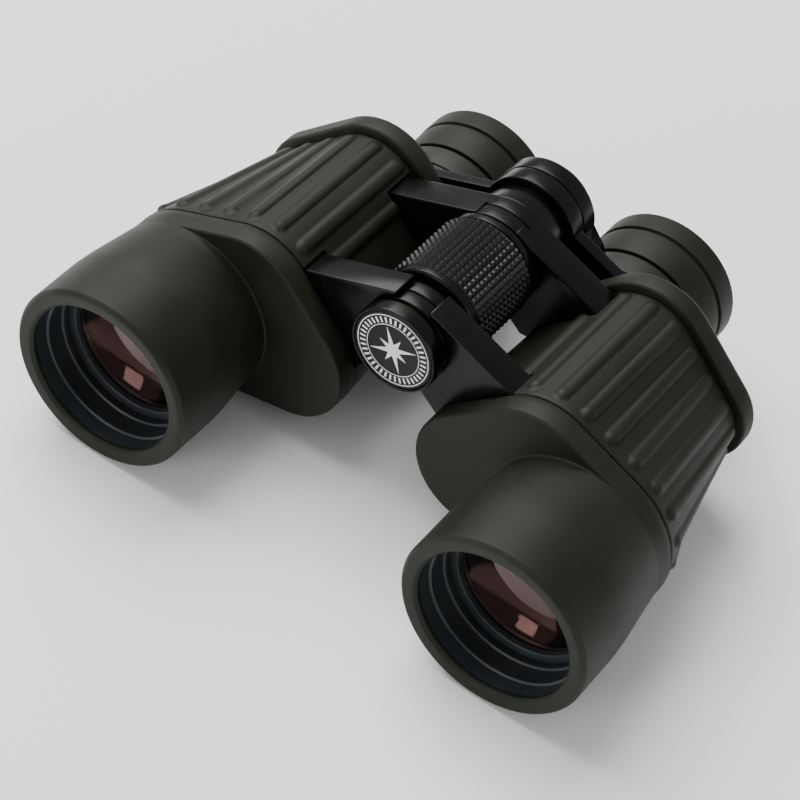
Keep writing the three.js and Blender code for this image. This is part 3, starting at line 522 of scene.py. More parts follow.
# ---- Repeats made by Geometry Nodes ---------------------------------------------------------------
class Generator:
    """A geometry tree with named inputs, run once on an object and baked to a plain mesh."""

    def __init__(self, name: str) -> None:
        """Starts a tree with a geometry input and output."""
        self.tree = bpy.data.node_groups.new(name, "GeometryNodeTree")
        self.tree.interface.new_socket("Geometry", in_out="INPUT", socket_type="NodeSocketGeometry")
        self.tree.interface.new_socket("Geometry", in_out="OUTPUT", socket_type="NodeSocketGeometry")
        self.source = self.tree.nodes.new("NodeGroupInput")
        self.values: dict[str, float | int] = {}

    def number(self, name: str, value: float | int) -> bpy.types.NodeSocket:
        """Adds a named input.

        Args:
            name: Name of the input.
            value: Its value; whole numbers make a whole-number input.

        Returns:
            The socket that carries it inside the tree.
        """
        kind = "NodeSocketInt" if isinstance(value, int) else "NodeSocketFloat"
        self.tree.interface.new_socket(name, in_out="INPUT", socket_type=kind)
        self.values[name] = value
        return self.source.outputs[name]

    def math(self, operation: str, *values: Any) -> bpy.types.NodeSocket:
        """Adds a Math node and gives its result."""
        inputs = {f"i{i}": v for i, v in enumerate(values)}
        return add_node(self.tree, "ShaderNodeMath", {"operation": operation}, **inputs).outputs[0]

    def field(self, name: str, kind: str = "FLOAT") -> bpy.types.NodeSocket:
        """Reads a named attribute of the mesh."""
        made = add_node(self.tree, "GeometryNodeInputNamedAttribute", {"data_type": kind}, Name=name)
        return made.outputs["Attribute"]

    def finish(self, geometry: bpy.types.NodeSocket, material: bpy.types.Material) -> None:
        """Ends the tree: instances become real and take their material."""
        real = add_node(self.tree, "GeometryNodeRealizeInstances", Geometry=geometry).outputs["Geometry"]
        dressed = add_node(self.tree, "GeometryNodeSetMaterial", Geometry=real, Material=material)
        out = self.tree.nodes.new("NodeGroupOutput")
        self.tree.links.new(dressed.outputs["Geometry"], out.inputs["Geometry"])

    def index(self) -> bpy.types.NodeSocket:
        """Gives the number of each point."""
        return add_node(self.tree, "GeometryNodeInputIndex").outputs["Index"]

    def stand_round(self, count: Any, turn: Any, reach: Any, middle: Sequence[Any],
                    shape: bpy.types.NodeSocket, material: bpy.types.Material) -> bpy.types.Object:
        """Stands copies of a shape round an axis along Y and runs the tree.

        Args:
            count: Number of copies.
            turn: Direction of each copy, from +X towards +Z.
            reach: Radius that they stand on, in metres.
            middle: X, Y and Z of the axis at each copy, in metres.
            shape: The shape, with its Z outwards.
            material: The copies' material.

        Returns:
            An object named like the tree that holds the copies.
        """
        points = add_node(self.tree, "GeometryNodeMeshLine", Count=count).outputs["Mesh"]
        out_x, out_z = self.math("COSINE", turn), self.math("SINE", turn)
        radial = add_node(self.tree, "ShaderNodeCombineXYZ", X=out_x, Z=out_z).outputs["Vector"]
        across = self.math("MULTIPLY_ADD", out_x, reach, middle[0])
        up = self.math("MULTIPLY_ADD", out_z, reach, middle[2])
        place = add_node(self.tree, "ShaderNodeCombineXYZ", X=across, Y=middle[1], Z=up).outputs["Vector"]
        placed = add_node(self.tree, "GeometryNodeSetPosition", Geometry=points, Position=place)
        aim = add_node(self.tree, "FunctionNodeAlignRotationToVector", {"axis": "Z"}, Vector=radial)
        copies = add_node(self.tree, "GeometryNodeInstanceOnPoints", Points=placed.outputs["Geometry"],
                          Instance=shape, Rotation=aim.outputs["Rotation"])
        self.finish(copies.outputs["Instances"], material)
        return self.run(link(bpy.data.meshes.new(self.tree.name), self.tree.name))

    def run(self, obj: bpy.types.Object) -> bpy.types.Object:
        """Runs the tree on an object.

        Args:
            obj: The object whose mesh goes in and is replaced.

        Returns:
            The same object with the made mesh.
        """
        tool = obj.modifiers.new(self.tree.name, "NODES")
        tool.node_group = self.tree
        for item in self.tree.interface.items_tree:
            if item.item_type == "SOCKET" and item.name in self.values:
                tool[item.identifier] = self.values[item.name]
        return baked(obj)


STUD_TOP = 0.14  # radius of a stud's blunt top, as a share of its foot's width


def knurl(radius: float, span: Span, around: int, rows: int, stud: float, height: float,
          material: bpy.types.Material) -> bpy.types.Object:
    """Sets rows of square pyramids round a cylinder about the hinge axis.

    Args:
        radius: Radius that the studs stand on.
        span: Where the first and last rows are.
        around: Studs in a row.
        rows: Number of rows.
        stud: Width of a stud's foot.
        height: Height of a stud.
        material: The studs' material.

    Returns:
        An object that holds all the studs.
    """
    made = Generator("studs")
    ring, total_rows = made.number("Studs per row", around), made.number("Rows", rows)
    size, tall = made.number("Stud width", stud * MM), made.number("Stud height", height * MM)
    reach = made.number("Radius", radius * MM)
    first = made.number("First row", PLACES.front + span.front * MM)
    pitch = made.number("Row pitch", (span.rear - span.front) * MM / (rows - 1))
    middle = made.number("Axis height", PLACES.hinge_height)
    index = made.index()
    row = made.math("FLOOR", made.math("DIVIDE", made.math("ADD", index, 0.5), ring))
    turn = made.math("MULTIPLY", made.math("DIVIDE", index, ring), TAU)
    pyramid = add_node(made.tree, "GeometryNodeMeshCone", Vertices=4, Side_Segments=1, Fill_Segments=1,
                       Radius_Top=made.math("MULTIPLY", size, STUD_TOP),
                       Radius_Bottom=made.math("MULTIPLY", size, math.sqrt(0.5)), Depth=tall)
    squared = add_node(made.tree, "GeometryNodeTransform", Geometry=pyramid.outputs["Mesh"],
                       Rotation=(0.0, 0.0, 0.25 * math.pi)).outputs["Geometry"]
    return made.stand_round(made.math("MULTIPLY", ring, total_rows), turn, reach,
                            (0.0, made.math("MULTIPLY_ADD", row, pitch, first), middle), squared, material)


@dataclass(frozen=True)
class Ribs:
    """Moulded ribs of the armour: rounded bars along Y with a bead at the front end."""

    pitch: float = 8.4
    first: int = -1
    last: int = 13
    half_width: float = 2.0
    height: float = 1.0
    bead: float = 0.25
    bead_reach: float = 3.0
    start: float = 50.6
    end: float = 93.6

    def raise_on(self, obj: bpy.types.Object, material: bpy.types.Material) -> bpy.types.Object:
        """Raises the ribs on a sleeve that carries "round", "along" and "lift" attributes.

        Args:
            obj: The sleeve.
            material: Its material.

        Returns:
            The ribbed sleeve.
        """
        made = Generator("armour_ribs")
        calc = made.math
        pitch, half = made.number("Pitch", self.pitch), made.number("Half width", self.half_width)
        height, bead = made.number("Height", self.height), made.number("Bead height", self.bead)
        reach = made.number("Bead reach", self.bead_reach)
        start, end = made.number("Start", self.start), made.number("End", self.end)
        first, last = made.number("First rib", float(self.first)), made.number("Last rib", float(self.last))
        along = made.field("along")
        phase = calc("DIVIDE", made.field("round"), pitch)
        rib = calc("MAXIMUM", calc("MINIMUM", calc("ROUND", phase), last), first)
        across = calc("MULTIPLY", calc("ABSOLUTE", calc("SUBTRACT", phase, rib)), pitch)
        before, behind = calc("SUBTRACT", start, along), calc("SUBTRACT", along, end)
        past = calc("MAXIMUM", calc("MAXIMUM", before, behind), 0.0)
        far = calc("SQRT", calc("ADD", calc("MULTIPLY", across, across), calc("MULTIPLY", past, past)))
        near = calc("DIVIDE", far, half)
        arch = calc("MAXIMUM", calc("SUBTRACT", 1.0, calc("MULTIPLY", near, near)), 0.0)
        from_bead = calc("DIVIDE", calc("ABSOLUTE", calc("SUBTRACT", along, start)), reach)
        swell = calc("MAXIMUM", calc("SUBTRACT", 1.0, from_bead), 0.0)
        tall = calc("MULTIPLY_ADD", calc("MULTIPLY", swell, swell), bead, height)
        lift = calc("MULTIPLY", calc("MULTIPLY", calc("POWER", arch, 0.5), tall), MM)
        offset = add_node(made.tree, "ShaderNodeVectorMath", {"operation": "SCALE"},
                          i0=made.field("lift", "FLOAT_VECTOR"), Scale=lift).outputs["Vector"]
        raised = add_node(made.tree, "GeometryNodeSetPosition", Geometry=made.source.outputs["Geometry"],
                          Offset=offset).outputs["Geometry"]
        made.finish(raised, material)
        return made.run(obj)


def copies_at(points: np.ndarray, sample: bpy.types.Object, material: bpy.types.Material,
              name: str) -> bpy.types.Object:
    """Sets copies of a small object at points, turned as it stands.

    Args:
        points: Places of the copies in the drawing frame, from the sample's own place.
        sample: The object to copy, drawn at the hinge axis' front end; it is removed.
        material: The copies' material.
        name: Name of the result.

    Returns:
        An object that holds the copies.
    """
    made = Generator(name)
    real = add_node(made.tree, "GeometryNodeObjectInfo", Object=sample).outputs["Geometry"]
    copies = add_node(made.tree, "GeometryNodeInstanceOnPoints", Points=made.source.outputs["Geometry"],
                      Instance=real).outputs["Instances"]
    made.finish(copies, material)
    cloud = bpy.data.meshes.new(name)
    cloud.from_pydata((points * MM).tolist(), [], [])
    result = made.run(link(cloud, name))
    bpy.data.objects.remove(sample)
    return result


# ---- Outlines of one half -------------------------------------------------------------------------
def hull_at(circles: Sequence[Triple], turn: np.ndarray) -> tuple[np.ndarray, np.ndarray]:
    """Finds the hull of circles, given as X, Z and radius, where it faces each direction.

    Args:
        circles: The circles.
        turn: Directions, from +X towards +Z.

    Returns:
        The hull's points and its outward normals.
    """
    normal = np.stack([np.cos(turn), np.sin(turn)], 1)
    circle = np.array(circles)
    best = np.argmax(normal @ circle[:, :2].T + circle[:, 2], axis=1)
    return circle[best, :2] + circle[best, 2:3] * normal, normal


def round_hull(circles: Sequence[Triple], side: Side, steps: int = 160) -> list[Pair]:
    """Walks round the hull of circles on either half."""
    points, _ = hull_at(circles, np.linspace(0.0, TAU, steps, endpoint=False))
    return [side.place((float(x), float(z))) for x, z in points]


@dataclass(frozen=True)
class BodyShape:
    """Cross-sections of a half: hulls of lobes, each an X, a Z and a radius, on the right half."""

    eye_lobe: float = 18.3
    prism_lobe: float = 18.5
    objective_lobe: float = 24.8
    rear_outer_lobe: float = 15.7
    cover_step: float = 2.5
    hull_steps: int = 1440
    walk_start: float = 120.0

    @property
    def mid(self) -> Pair:
        """Axis of the light between the two prisms, on the right half."""
        (eye_x, eye_z), (obj_x, _) = PLACES.eyepiece, PLACES.objective
        return (0.5 * (eye_x + obj_x), eye_z + 0.5 * (obj_x - eye_x))

    def front_lobes(self) -> list[Triple]:
        """Lobes at the front cover."""
        mid_x, mid_z = self.mid
        return [(*PLACES.eyepiece, self.eye_lobe), (*PLACES.objective, self.objective_lobe),
                (mid_x - 0.7, mid_z - 2.0, self.prism_lobe), (mid_x, PLACES.eyepiece[1], self.eye_lobe)]

    def rear_lobes(self, inset: float = 0.0) -> list[Triple]:
        """Lobes at the rear cover, `inset` inside its edge."""
        (obj_x, obj_z), (mid_x, mid_z) = PLACES.objective, self.mid
        rest = -PLACES.hinge_height / MM
        made = [(*PLACES.eyepiece, self.eye_lobe), (obj_x + 0.5, obj_z + 1.7, self.rear_outer_lobe),
                (mid_x - 1.7, mid_z - 0.9, self.prism_lobe),
                (mid_x - 1.0, rest + self.eye_lobe, self.eye_lobe)]
        return [(x, z, r - inset) for x, z, r in made]

    def hull(self, lobes: Sequence[Triple]) -> np.ndarray:
        """Walks round a hull, over the top towards the objective side.

        Returns:
            Rows of distance walked, X, Z, and the outward normal's X and Z.
        """
        turn = math.radians(self.walk_start) - np.linspace(0.0, TAU, self.hull_steps + 1)
        point, normal = hull_at(lobes, turn)
        walked = np.concatenate([[0.0], np.cumsum(np.linalg.norm(np.diff(point, axis=0), axis=1))])
        return np.column_stack([walked, point, normal])

    def sample(self, lobes: Sequence[Triple], distances: np.ndarray) -> np.ndarray:
        """Finds X, Z and the outward normal's X and Z at distances round a hull."""
        hull = self.hull(lobes)
        wanted = np.mod(distances, hull[-1, 0])
        return np.column_stack([np.interp(wanted, hull[:, 0], hull[:, c]) for c in range(1, 5)])

    def reach(self, lobes: Sequence[Triple], centre: Pair, angles: np.ndarray) -> np.ndarray:
        """Measures how far a hull reaches from a point inside it.

        Args:
            lobes: The hull's lobes.
            centre: The point.
            angles: Directions, from +X towards +Z.

        Returns:
            The distance to the hull's edge in each direction.
        """
        turn = np.linspace(0.0, TAU, self.hull_steps, endpoint=False)
        normal = np.stack([np.cos(turn), np.sin(turn)], 1)
        circle = np.array(lobes)
        support = np.max(normal @ (circle[:, :2] - centre).T + circle[:, 2], axis=1)
        facing = np.cos(turn[None, :] - angles[:, None])
        return np.min(np.where(facing > 0.05, support / np.maximum(facing, 0.05), np.inf), axis=1)


SHAPE = BodyShape()


def mirrored(ring: Ring, side: Side) -> Ring:
    """Puts a ring of the right half on either half."""
    return ring * np.array([side.value, 1.0, 1.0])


def flat_ring(places: np.ndarray, inset: float, y: float, side: Side) -> Ring:
    """Makes a ring at a station from outline places, moved inwards along their normals."""
    edge = places[:, :2] - inset * places[:, 2:4]
    return mirrored(np.column_stack([edge[:, 0], np.full(len(edge), y), edge[:, 1]]), side)


# ---- Sub-assemblies -------------------------------------------------------------------------------
@dataclass
class FrontCover:
    """Smooth rubber moulding: the cover plate and the objective hood in one."""

    side: Side
    face: float = 39.0
    rim_radius: float = 27.3
    lip_radius: float = 22.3
    bore: float = 23.2
    fillet: float = 0.6
    edge: float = 0.85
    segments: int = 320

    def barrel_radius(self, y: float) -> float:
        """Outer radius of the hood at a station behind its rim."""
        return float(np.interp(y, [18, 22, 26, 30, 34, 38, 42, 46],
                               [self.rim_radius, 27.05, 26.6, 26.1, 25.6, 25.1, 24.75, 24.6]))

    def build(self) -> None:
        """Makes the moulding as rings about the objective axis."""
        turn = np.linspace(0.0, TAU, self.segments, endpoint=False)
        rear = PLACES.span("right_front_cover").rear
        reach = SHAPE.reach(SHAPE.front_lobes(), PLACES.objective, turn)
        root = self.barrel_radius(self.face)
        spare = np.maximum(reach - root, 0.0)
        fillet, edge = np.minimum(self.fillet, 0.45 * spare), np.minimum(self.edge, 0.45 * spare)
        rows: list[tuple[np.ndarray, np.ndarray]] = []

        def row(radius: Any, y: Any) -> None:
            """Adds one ring, given as values or as one value for each direction."""
            rows.append((np.broadcast_to(radius, turn.shape), np.broadcast_to(y, turn.shape)))

        lip = rounded([(self.bore, 2.5, 0.0), (self.lip_radius, 2.2, 0.15), (self.lip_radius, 1.1, 0.6),
                       (self.bore, 0.2, 0.7), (26.3, -0.05, 1.1), (self.rim_radius, 1.3, 1.2),
                       (self.rim_radius, 17.0, 0.0), (self.rim_radius, 18.0, 0.0)], steps=8)
        for radius, y in lip:
            row(radius, max(y, 0.0))
        for y in np.arange(19.5, self.face - 3.2, 1.5):
            row(self.barrel_radius(float(y)), float(y))
        for t in np.linspace(0.0, QUARTER, 7):
            row(root + fillet * (1 - np.cos(t)), self.face - fillet * (1 - np.sin(t)))
        for t in np.linspace(0.12, 0.9, 8):
            inner, outer = root + fillet, np.maximum(reach - edge, root)
            row(inner + (outer - inner) * t, self.face + 0.0 * turn)
        for t in np.linspace(0.0, QUARTER, 7):
            row(np.maximum(reach - edge, root - 0.3) + edge * np.sin(t), self.face + edge * (1 - np.cos(t)))
        for y in (rear - 2.5, rear - 0.55):
            row(reach, y)
        row(reach - 0.25, rear - 0.15)
        row(reach - 0.7, rear)
        row(self.bore, rear)
        axis_x, axis_z = PLACES.objective
        rings = [mirrored(np.column_stack([axis_x + r * np.cos(turn), y, axis_z + r * np.sin(turn)]),
                          self.side) for r, y in rows]
        made = link(rings_mesh(rings, "cover", loop=True), self.side.part("cover_moulding"))
        finished(made, ARMOUR_RUBBER, self.side.part("half"), self.side.part("front_cover"), sharp=50)


@dataclass
class Objective:
    """Dark ridged tube, lens ring and objective lens."""

    side: Side
    bore: float = 22.6
    ridges: Pair = (6.6, 12.3)
    ridge_height: float = 0.65
    lens_radius: float = 20.1
    clear_radius: float = 19.0
    rear_bulge: float = 3.6
    mouth: float = 2.3

    def build(self) -> None:
        """Makes the tube, the ring and the lens."""
        side, clear = self.side, self.clear_radius
        axis, body = side.place(PLACES.objective), side.part("half")
        rear, lens = PLACES.span(side.part("objective_tube")).rear, PLACES.span(side.part("objective_lens"))
        seat = lens.rear - 0.5
        corners, radius = [(self.bore, self.mouth, 0.2)], self.bore
        for y in self.ridges:
            corners += [(radius, y, 0.15), (radius - self.ridge_height, y + 0.2, 0.2)]
            radius -= self.ridge_height
            corners += [(radius, y + 0.9, 0.1), (radius + 0.25, y + 1.1, 0.1)]
            radius += 0.25
        corners += [(radius, seat, 0.1), (clear, seat + 0.3, 0.2), (clear, rear, 0.2),
                    (self.bore + 0.4, rear, 0.2), (self.bore + 0.4, self.mouth, 0.2)]
        turn_piece(side.part("ridged_tube"), corners, axis, BLACK_ANODISED, body,
                   side.part("objective_tube"))
        ring_y = lens.front + 1.9
        outer = radius - 0.05
        ring = [(clear + 0.1, ring_y, 0.1), (clear + 0.4, ring_y - 1.6, 0.25), (outer, ring_y - 1.9, 0.25),
                (outer, ring_y, 0.1)]
        turn_piece(side.part("lens_retaining_ring"), ring, axis, BLACK_ANODISED, body,
                   side.part("lens_ring"))
        glass = link(turned(self.lens_profile(lens), axis, "lens", 96), side.part("objective_glass"))
        finished(glass, LENS_GLASS, body, side.part("objective_lens"), sharp=60)

    def lens_profile(self, span: Span) -> list[Pair]:
        """Profile of the lens, from the front crown over the rim to the rear crown."""
        radii = np.linspace(0.0, self.lens_radius, 16)
        bulge = 1.0 - (radii / self.lens_radius) ** 2
        front = [(float(r), span.front + 1.9 * (1 - float(b))) for r, b in zip(radii, bulge)]
        rear = [(float(r), span.rear - 0.8 + self.rear_bulge * float(b)) for r, b in zip(radii, bulge)]
        return front + rear[::-1]


FAR_AWAY = -1e3  # distance round of points that no rib is near


@dataclass
class Armour:
    """Ribbed rubber sleeve between the two covers, notched round the hinge arms."""

    side: Side
    thickness: float = 2.0
    around: int = 440
    along: int = 70
    lip: float = 0.5
    ribbed_share: float = 0.62
    ribs: Ribs = field(default_factory=Ribs)

    def rings(self, ys: np.ndarray, insets: np.ndarray) -> tuple[list[Ring], np.ndarray, np.ndarray]:
        """Makes the sleeve's rings on straight lines between the two end outlines.

        Args:
            ys: Station of each ring.
            insets: How far each ring lies inside the surface.

        Returns:
            The rings, the distance round of each point, and each point's outward direction.
        """
        share = int(self.around * self.ribbed_share)
        start, ribbed = self.ribs.pitch * (self.ribs.first - 0.5), self.ribs.pitch * (self.ribs.last + 0.5)
        step = np.arange(self.around)
        ends = []
        for lobes in (SHAPE.front_lobes(), SHAPE.rear_lobes(SHAPE.cover_step)):
            rest = SHAPE.hull(lobes)[-1, 0] - (ribbed - start)
            distances = np.where(step < share, start + (ribbed - start) * step / share,
                                 ribbed + rest * (step - share) / (self.around - share))
            ends.append(SHAPE.sample(lobes, distances))
        around = np.where(step < share, distances, FAR_AWAY)
        low, high = PLACES.span("right_front_cover").rear, PLACES.span("right_rear_cover").front
        made = []
        for y, inset in zip(ys, insets):
            t = (y - low) / (high - low)
            blend = ends[0] * (1 - t) + ends[1] * t
            made.append(flat_ring(blend, inset, y, self.side))
        outward = 0.5 * (ends[0][:, 2:4] + ends[1][:, 2:4])
        outward /= np.linalg.norm(outward, axis=1, keepdims=True)
        lift = np.column_stack([self.side.value * outward[:, 0], np.zeros(len(outward)), outward[:, 1]])
        return made, around, lift

    def build(self, arms: "HingeArms") -> None:
        """Makes the sleeve, raises its ribs and cuts the notches for the arms."""
        span = PLACES.span("right_armour")
        y0, y1 = span.front - 0.1, span.rear + 0.1
        ys = np.linspace(y0 + self.lip, y1 - self.lip, self.along)
        outer = np.concatenate([[y0, y0 + 0.12], ys, [y1 - 0.12, y1]])
        inset = np.concatenate([[self.lip, 0.18], np.zeros(self.along), [0.18, self.lip]])
        all_y = np.concatenate([outer, [y1, y0]])
        all_inset = np.concatenate([inset, [self.thickness, self.thickness]])
        rings, around, lift = self.rings(all_y, all_inset)
        mesh = rings_mesh(rings, "sleeve", loop=True)
        made = link(mesh, self.side.part("ribbed_armour"))
        self.mark(mesh, np.concatenate(rings), all_y, all_inset, around, lift)
        self.ribs.raise_on(made, ARMOUR_RUBBER.build())
        cutters = [("DIFFERENCE", prism(arms.outline(0.7), s.front - 0.8, s.rear + 0.6, "notch"))
                   for s in (arms.front, arms.rear)]
        made.data = combined(made.data, cutters)
        finished(made, ARMOUR_RUBBER, self.side.part("half"), self.side.part("armour"), sharp=48)

    def mark(self, mesh: bpy.types.Mesh, points: np.ndarray, ys: np.ndarray, insets: np.ndarray,
             around: np.ndarray, lift: np.ndarray) -> None:
        """Writes the attributes that the rib tree reads onto the sleeve's points."""
        if len(mesh.vertices) != len(points):
            raise RuntimeError("the sleeve lost points when it was welded")
        count = len(around)
        along = np.repeat(ys, count)
        outer = np.repeat(insets < 0.3, count)
        facing = np.tile(lift, (len(ys), 1)) * outer[:, None]
        for name, kind, key, data in (("round", "FLOAT", "value", np.tile(around, len(ys))),
                                      ("along", "FLOAT", "value", along),
                                      ("lift", "FLOAT_VECTOR", "vector", facing)):
            layer = mesh.attributes.new(name, kind, "POINT")
            layer.data.foreach_set(key, np.ascontiguousarray(data, dtype=np.float32).ravel())


@dataclass
class RearCover:
    """Smooth rubber cover plate that stands proud of the armour, with its screws."""

    side: Side
    front_edge: float = 0.9
    rear_edge: float = 2.2
    around: int = 320

    def build(self) -> None:
        """Makes the plate with rounded edges and the cross-slotted screws."""
        side = self.side
        span = PLACES.span(side.part("rear_cover"))
        lobes = SHAPE.rear_lobes()
        total = SHAPE.hull(lobes)[-1, 0]
        places = SHAPE.sample(lobes, np.linspace(0.0, total, self.around, endpoint=False))
        rings = [flat_ring(places, 6.0, span.front, self.side)]
        for t in np.linspace(0.0, QUARTER, 5):
            rings.append(flat_ring(places, self.front_edge * (1 - math.sin(t)),
                                   span.front + self.front_edge * (1 - math.cos(t)), self.side))
        for t in np.linspace(0.0, QUARTER, 9):
            rings.append(flat_ring(places, self.rear_edge * (1 - math.cos(t)),
                                   span.rear - self.rear_edge * (1 - math.sin(t)), self.side))
        rings.append(flat_ring(places, 4.0, span.rear, self.side))
        mesh = rings_mesh(rings, "plate", caps=True)
        holes = [disc(3.3, span.rear - 2.1, span.rear + 2, axis, 48) for axis in self.screw_axes()]
        eye_hole = disc(14.9, span.front - 2, span.rear + 2, side.place(PLACES.eyepiece))
        mesh = combined(mesh, [("DIFFERENCE", cutter) for cutter in (eye_hole, *holes)])
        finished(link(mesh, side.part("rear_cover_plate")), ARMOUR_RUBBER, side.part("half"),
                 side.part("rear_cover"), sharp=48)
        self.screws(span)

    def screw_axes(self) -> list[Pair]:
        """Axes of the screws, from the frame's own screws."""
        return [PLACES.axis(node) for node in self.screw_nodes()]

    def screw_nodes(self) -> list[str]:
        """Names of the frame's screws."""
        return [self.side.part(f"cover_screw_{i}") for i in (1, 2, 3)]

    def screws(self, span: Span) -> None:
        """Makes the screws as copies of one cross-slotted head."""
        head = turned([(0, span.rear - 1.9), (2.8, span.rear - 1.9), (2.8, span.rear - 0.7),
                       (2.3, span.rear - 0.35), (0, span.rear - 0.25)], HINGE, "head", 40)
        slots = [prism([(-w, -h), (w, -h), (w, h), (-w, h)], span.rear - 1.1, span.rear + PAST, "slot")
                 for w, h in ((1.7, 0.32), (0.32, 1.7))]
        sample = link(combined(head, [("DIFFERENCE", slot) for slot in slots]), "screw_sample")
        soften(sample, 0.08, 1, 40)
        points = np.array([(x, 0.0, z) for x, z in self.screw_axes()])
        made = copies_at(points, sample, BLACK_ANODISED.build(), self.side.part("cover_screws"))
        finished(made, BLACK_ANODISED, self.side.part("half"), *self.screw_nodes())


@dataclass
class HingeArms:
    """Painted casting of one half: the prism shell with its two hinge arms and knuckles."""

    side: Side
    front: Span = Span(46.3, 55.2)
    rear: Span = Span(86.2, 95.5)
    front_knuckle: float = 12.4
    rear_knuckle: float = 14.1
    light_hole: float = 19.0
    skin: float = 2.8
    wall: float = 2.0
    edge: float = 0.55

    def outline(self, grow: float = 0.0) -> list[Pair]:
        """Gives X and Z of an arm's corners from the knuckle to the shell, `grow` wider than the arm."""
        corners = [(5.3, 13.2 + grow), (33.6, 2.2 + grow), (36.0, 0.8 + grow), (36.0, -6.0),
                   (21.5, -19.0 - grow), (13.0, -19.6 - grow), (5.2, -13.2 - grow)]
        return [self.side.place(corner) for corner in corners]

    def arm(self, span: Span, first: bool, radius: float) -> bpy.types.Mesh:
        """Makes one arm with its knuckle.

        Args:
            span: The arm's reach.
            first: Whether this half's knuckle is the front one of the pair.
            radius: Radius of the knuckle.

        Returns:
            The arm with rounded edges.
        """
        own, other = span.halves(first)
        return combined(soft_prism(self.outline(), span, self.edge, 20), [
            ("DIFFERENCE", disc(radius + PLAY, other.front - 0.8, other.rear + 0.8)),
            ("UNION", knuckle(radius, own, self.edge)),
            ("DIFFERENCE", disc(AXLE_BORE, span.front - PAST, span.rear + PAST))])

    def build(self) -> None:
        """Makes the casting."""
        side = self.side
        span = PLACES.span(side.part("prism_housing"))
        sleeve = Armour(side, around=160)

        def solid(front: float, rear: float, inset: float) -> bpy.types.Mesh:
            """Makes the solid inside the armour's surface between two stations."""
            rings, _, _ = sleeve.rings(np.array([front, rear]), np.full(2, inset))
            return rings_mesh(rings, "shell", caps=True)

        light = disc(self.light_hole, span.front - PAST, span.front + 5, side.place(PLACES.objective))
        first = side is Side.LEFT
        mesh = combined(solid(span.front, span.rear, self.skin), [
            ("UNION", self.arm(self.front, first, self.front_knuckle)),
            ("UNION", self.arm(self.rear, not first, self.rear_knuckle)),
            ("DIFFERENCE", solid(span.front + self.wall, span.rear + PAST, self.skin + self.wall)),
            ("DIFFERENCE", light)])
        finished(link(mesh, side.part("prism_casting")), SATIN_PAINT, side.part("half"),
                 side.part("prism_housing"), sharp=40)


@dataclass
class BridgeArm:
    """One arm of the focusing bridge: the hub's half, a fillet and the plate round the eyepiece."""

    side: Side
    hub_radius: float = 14.3
    spindle_bore: float = 4.9
    eye_bore: float = 17.8
    ring_room: float = 20.3
    plate_depth: float = 3.8
    edge: float = 0.5

    def build(self) -> None:
        """Makes the arm."""
        side = self.side
        whole = Span(PLACES.span("left_bridge_arm").front, PLACES.span("right_bridge_arm").rear)
        own, other = whole.halves(side is Side.LEFT)
        eye_x, eye_z = PLACES.eyepiece
        hub, knee = (5.0, -2.0, 9.0), (eye_x * 0.36, eye_z * 0.36, 8.9)
        plate_rear = whole.front + self.plate_depth
        eye = side.place(PLACES.eyepiece)

        def slab(circles: Sequence[Triple], rear: float) -> bpy.types.Mesh:
            """Makes a slab with rounded edges from the bridge's front face."""
            return soft_prism(round_hull(circles, side), Span(whole.front, rear), self.edge, 40)

        mesh = combined(slab([hub, (eye_x, eye_z, 20.4)], plate_rear), [
            ("UNION", slab([hub, knee], whole.rear)),
            ("DIFFERENCE", disc(self.hub_radius + PLAY, other.front - 0.8, other.rear + 0.8)),
            ("UNION", knuckle(self.hub_radius, own, self.edge)),
            ("DIFFERENCE", disc(self.spindle_bore, whole.front - PAST, whole.rear + PAST)),
            ("DIFFERENCE", disc(self.eye_bore, whole.front - PAST, plate_rear + PAST, eye)),
            ("DIFFERENCE", disc(self.ring_room, plate_rear, whole.rear + PAST, eye))])
        finished(link(mesh, side.part("bridge")), SATIN_PAINT, side.part("ocular"),
                 side.part("bridge_arm"), sharp=40)


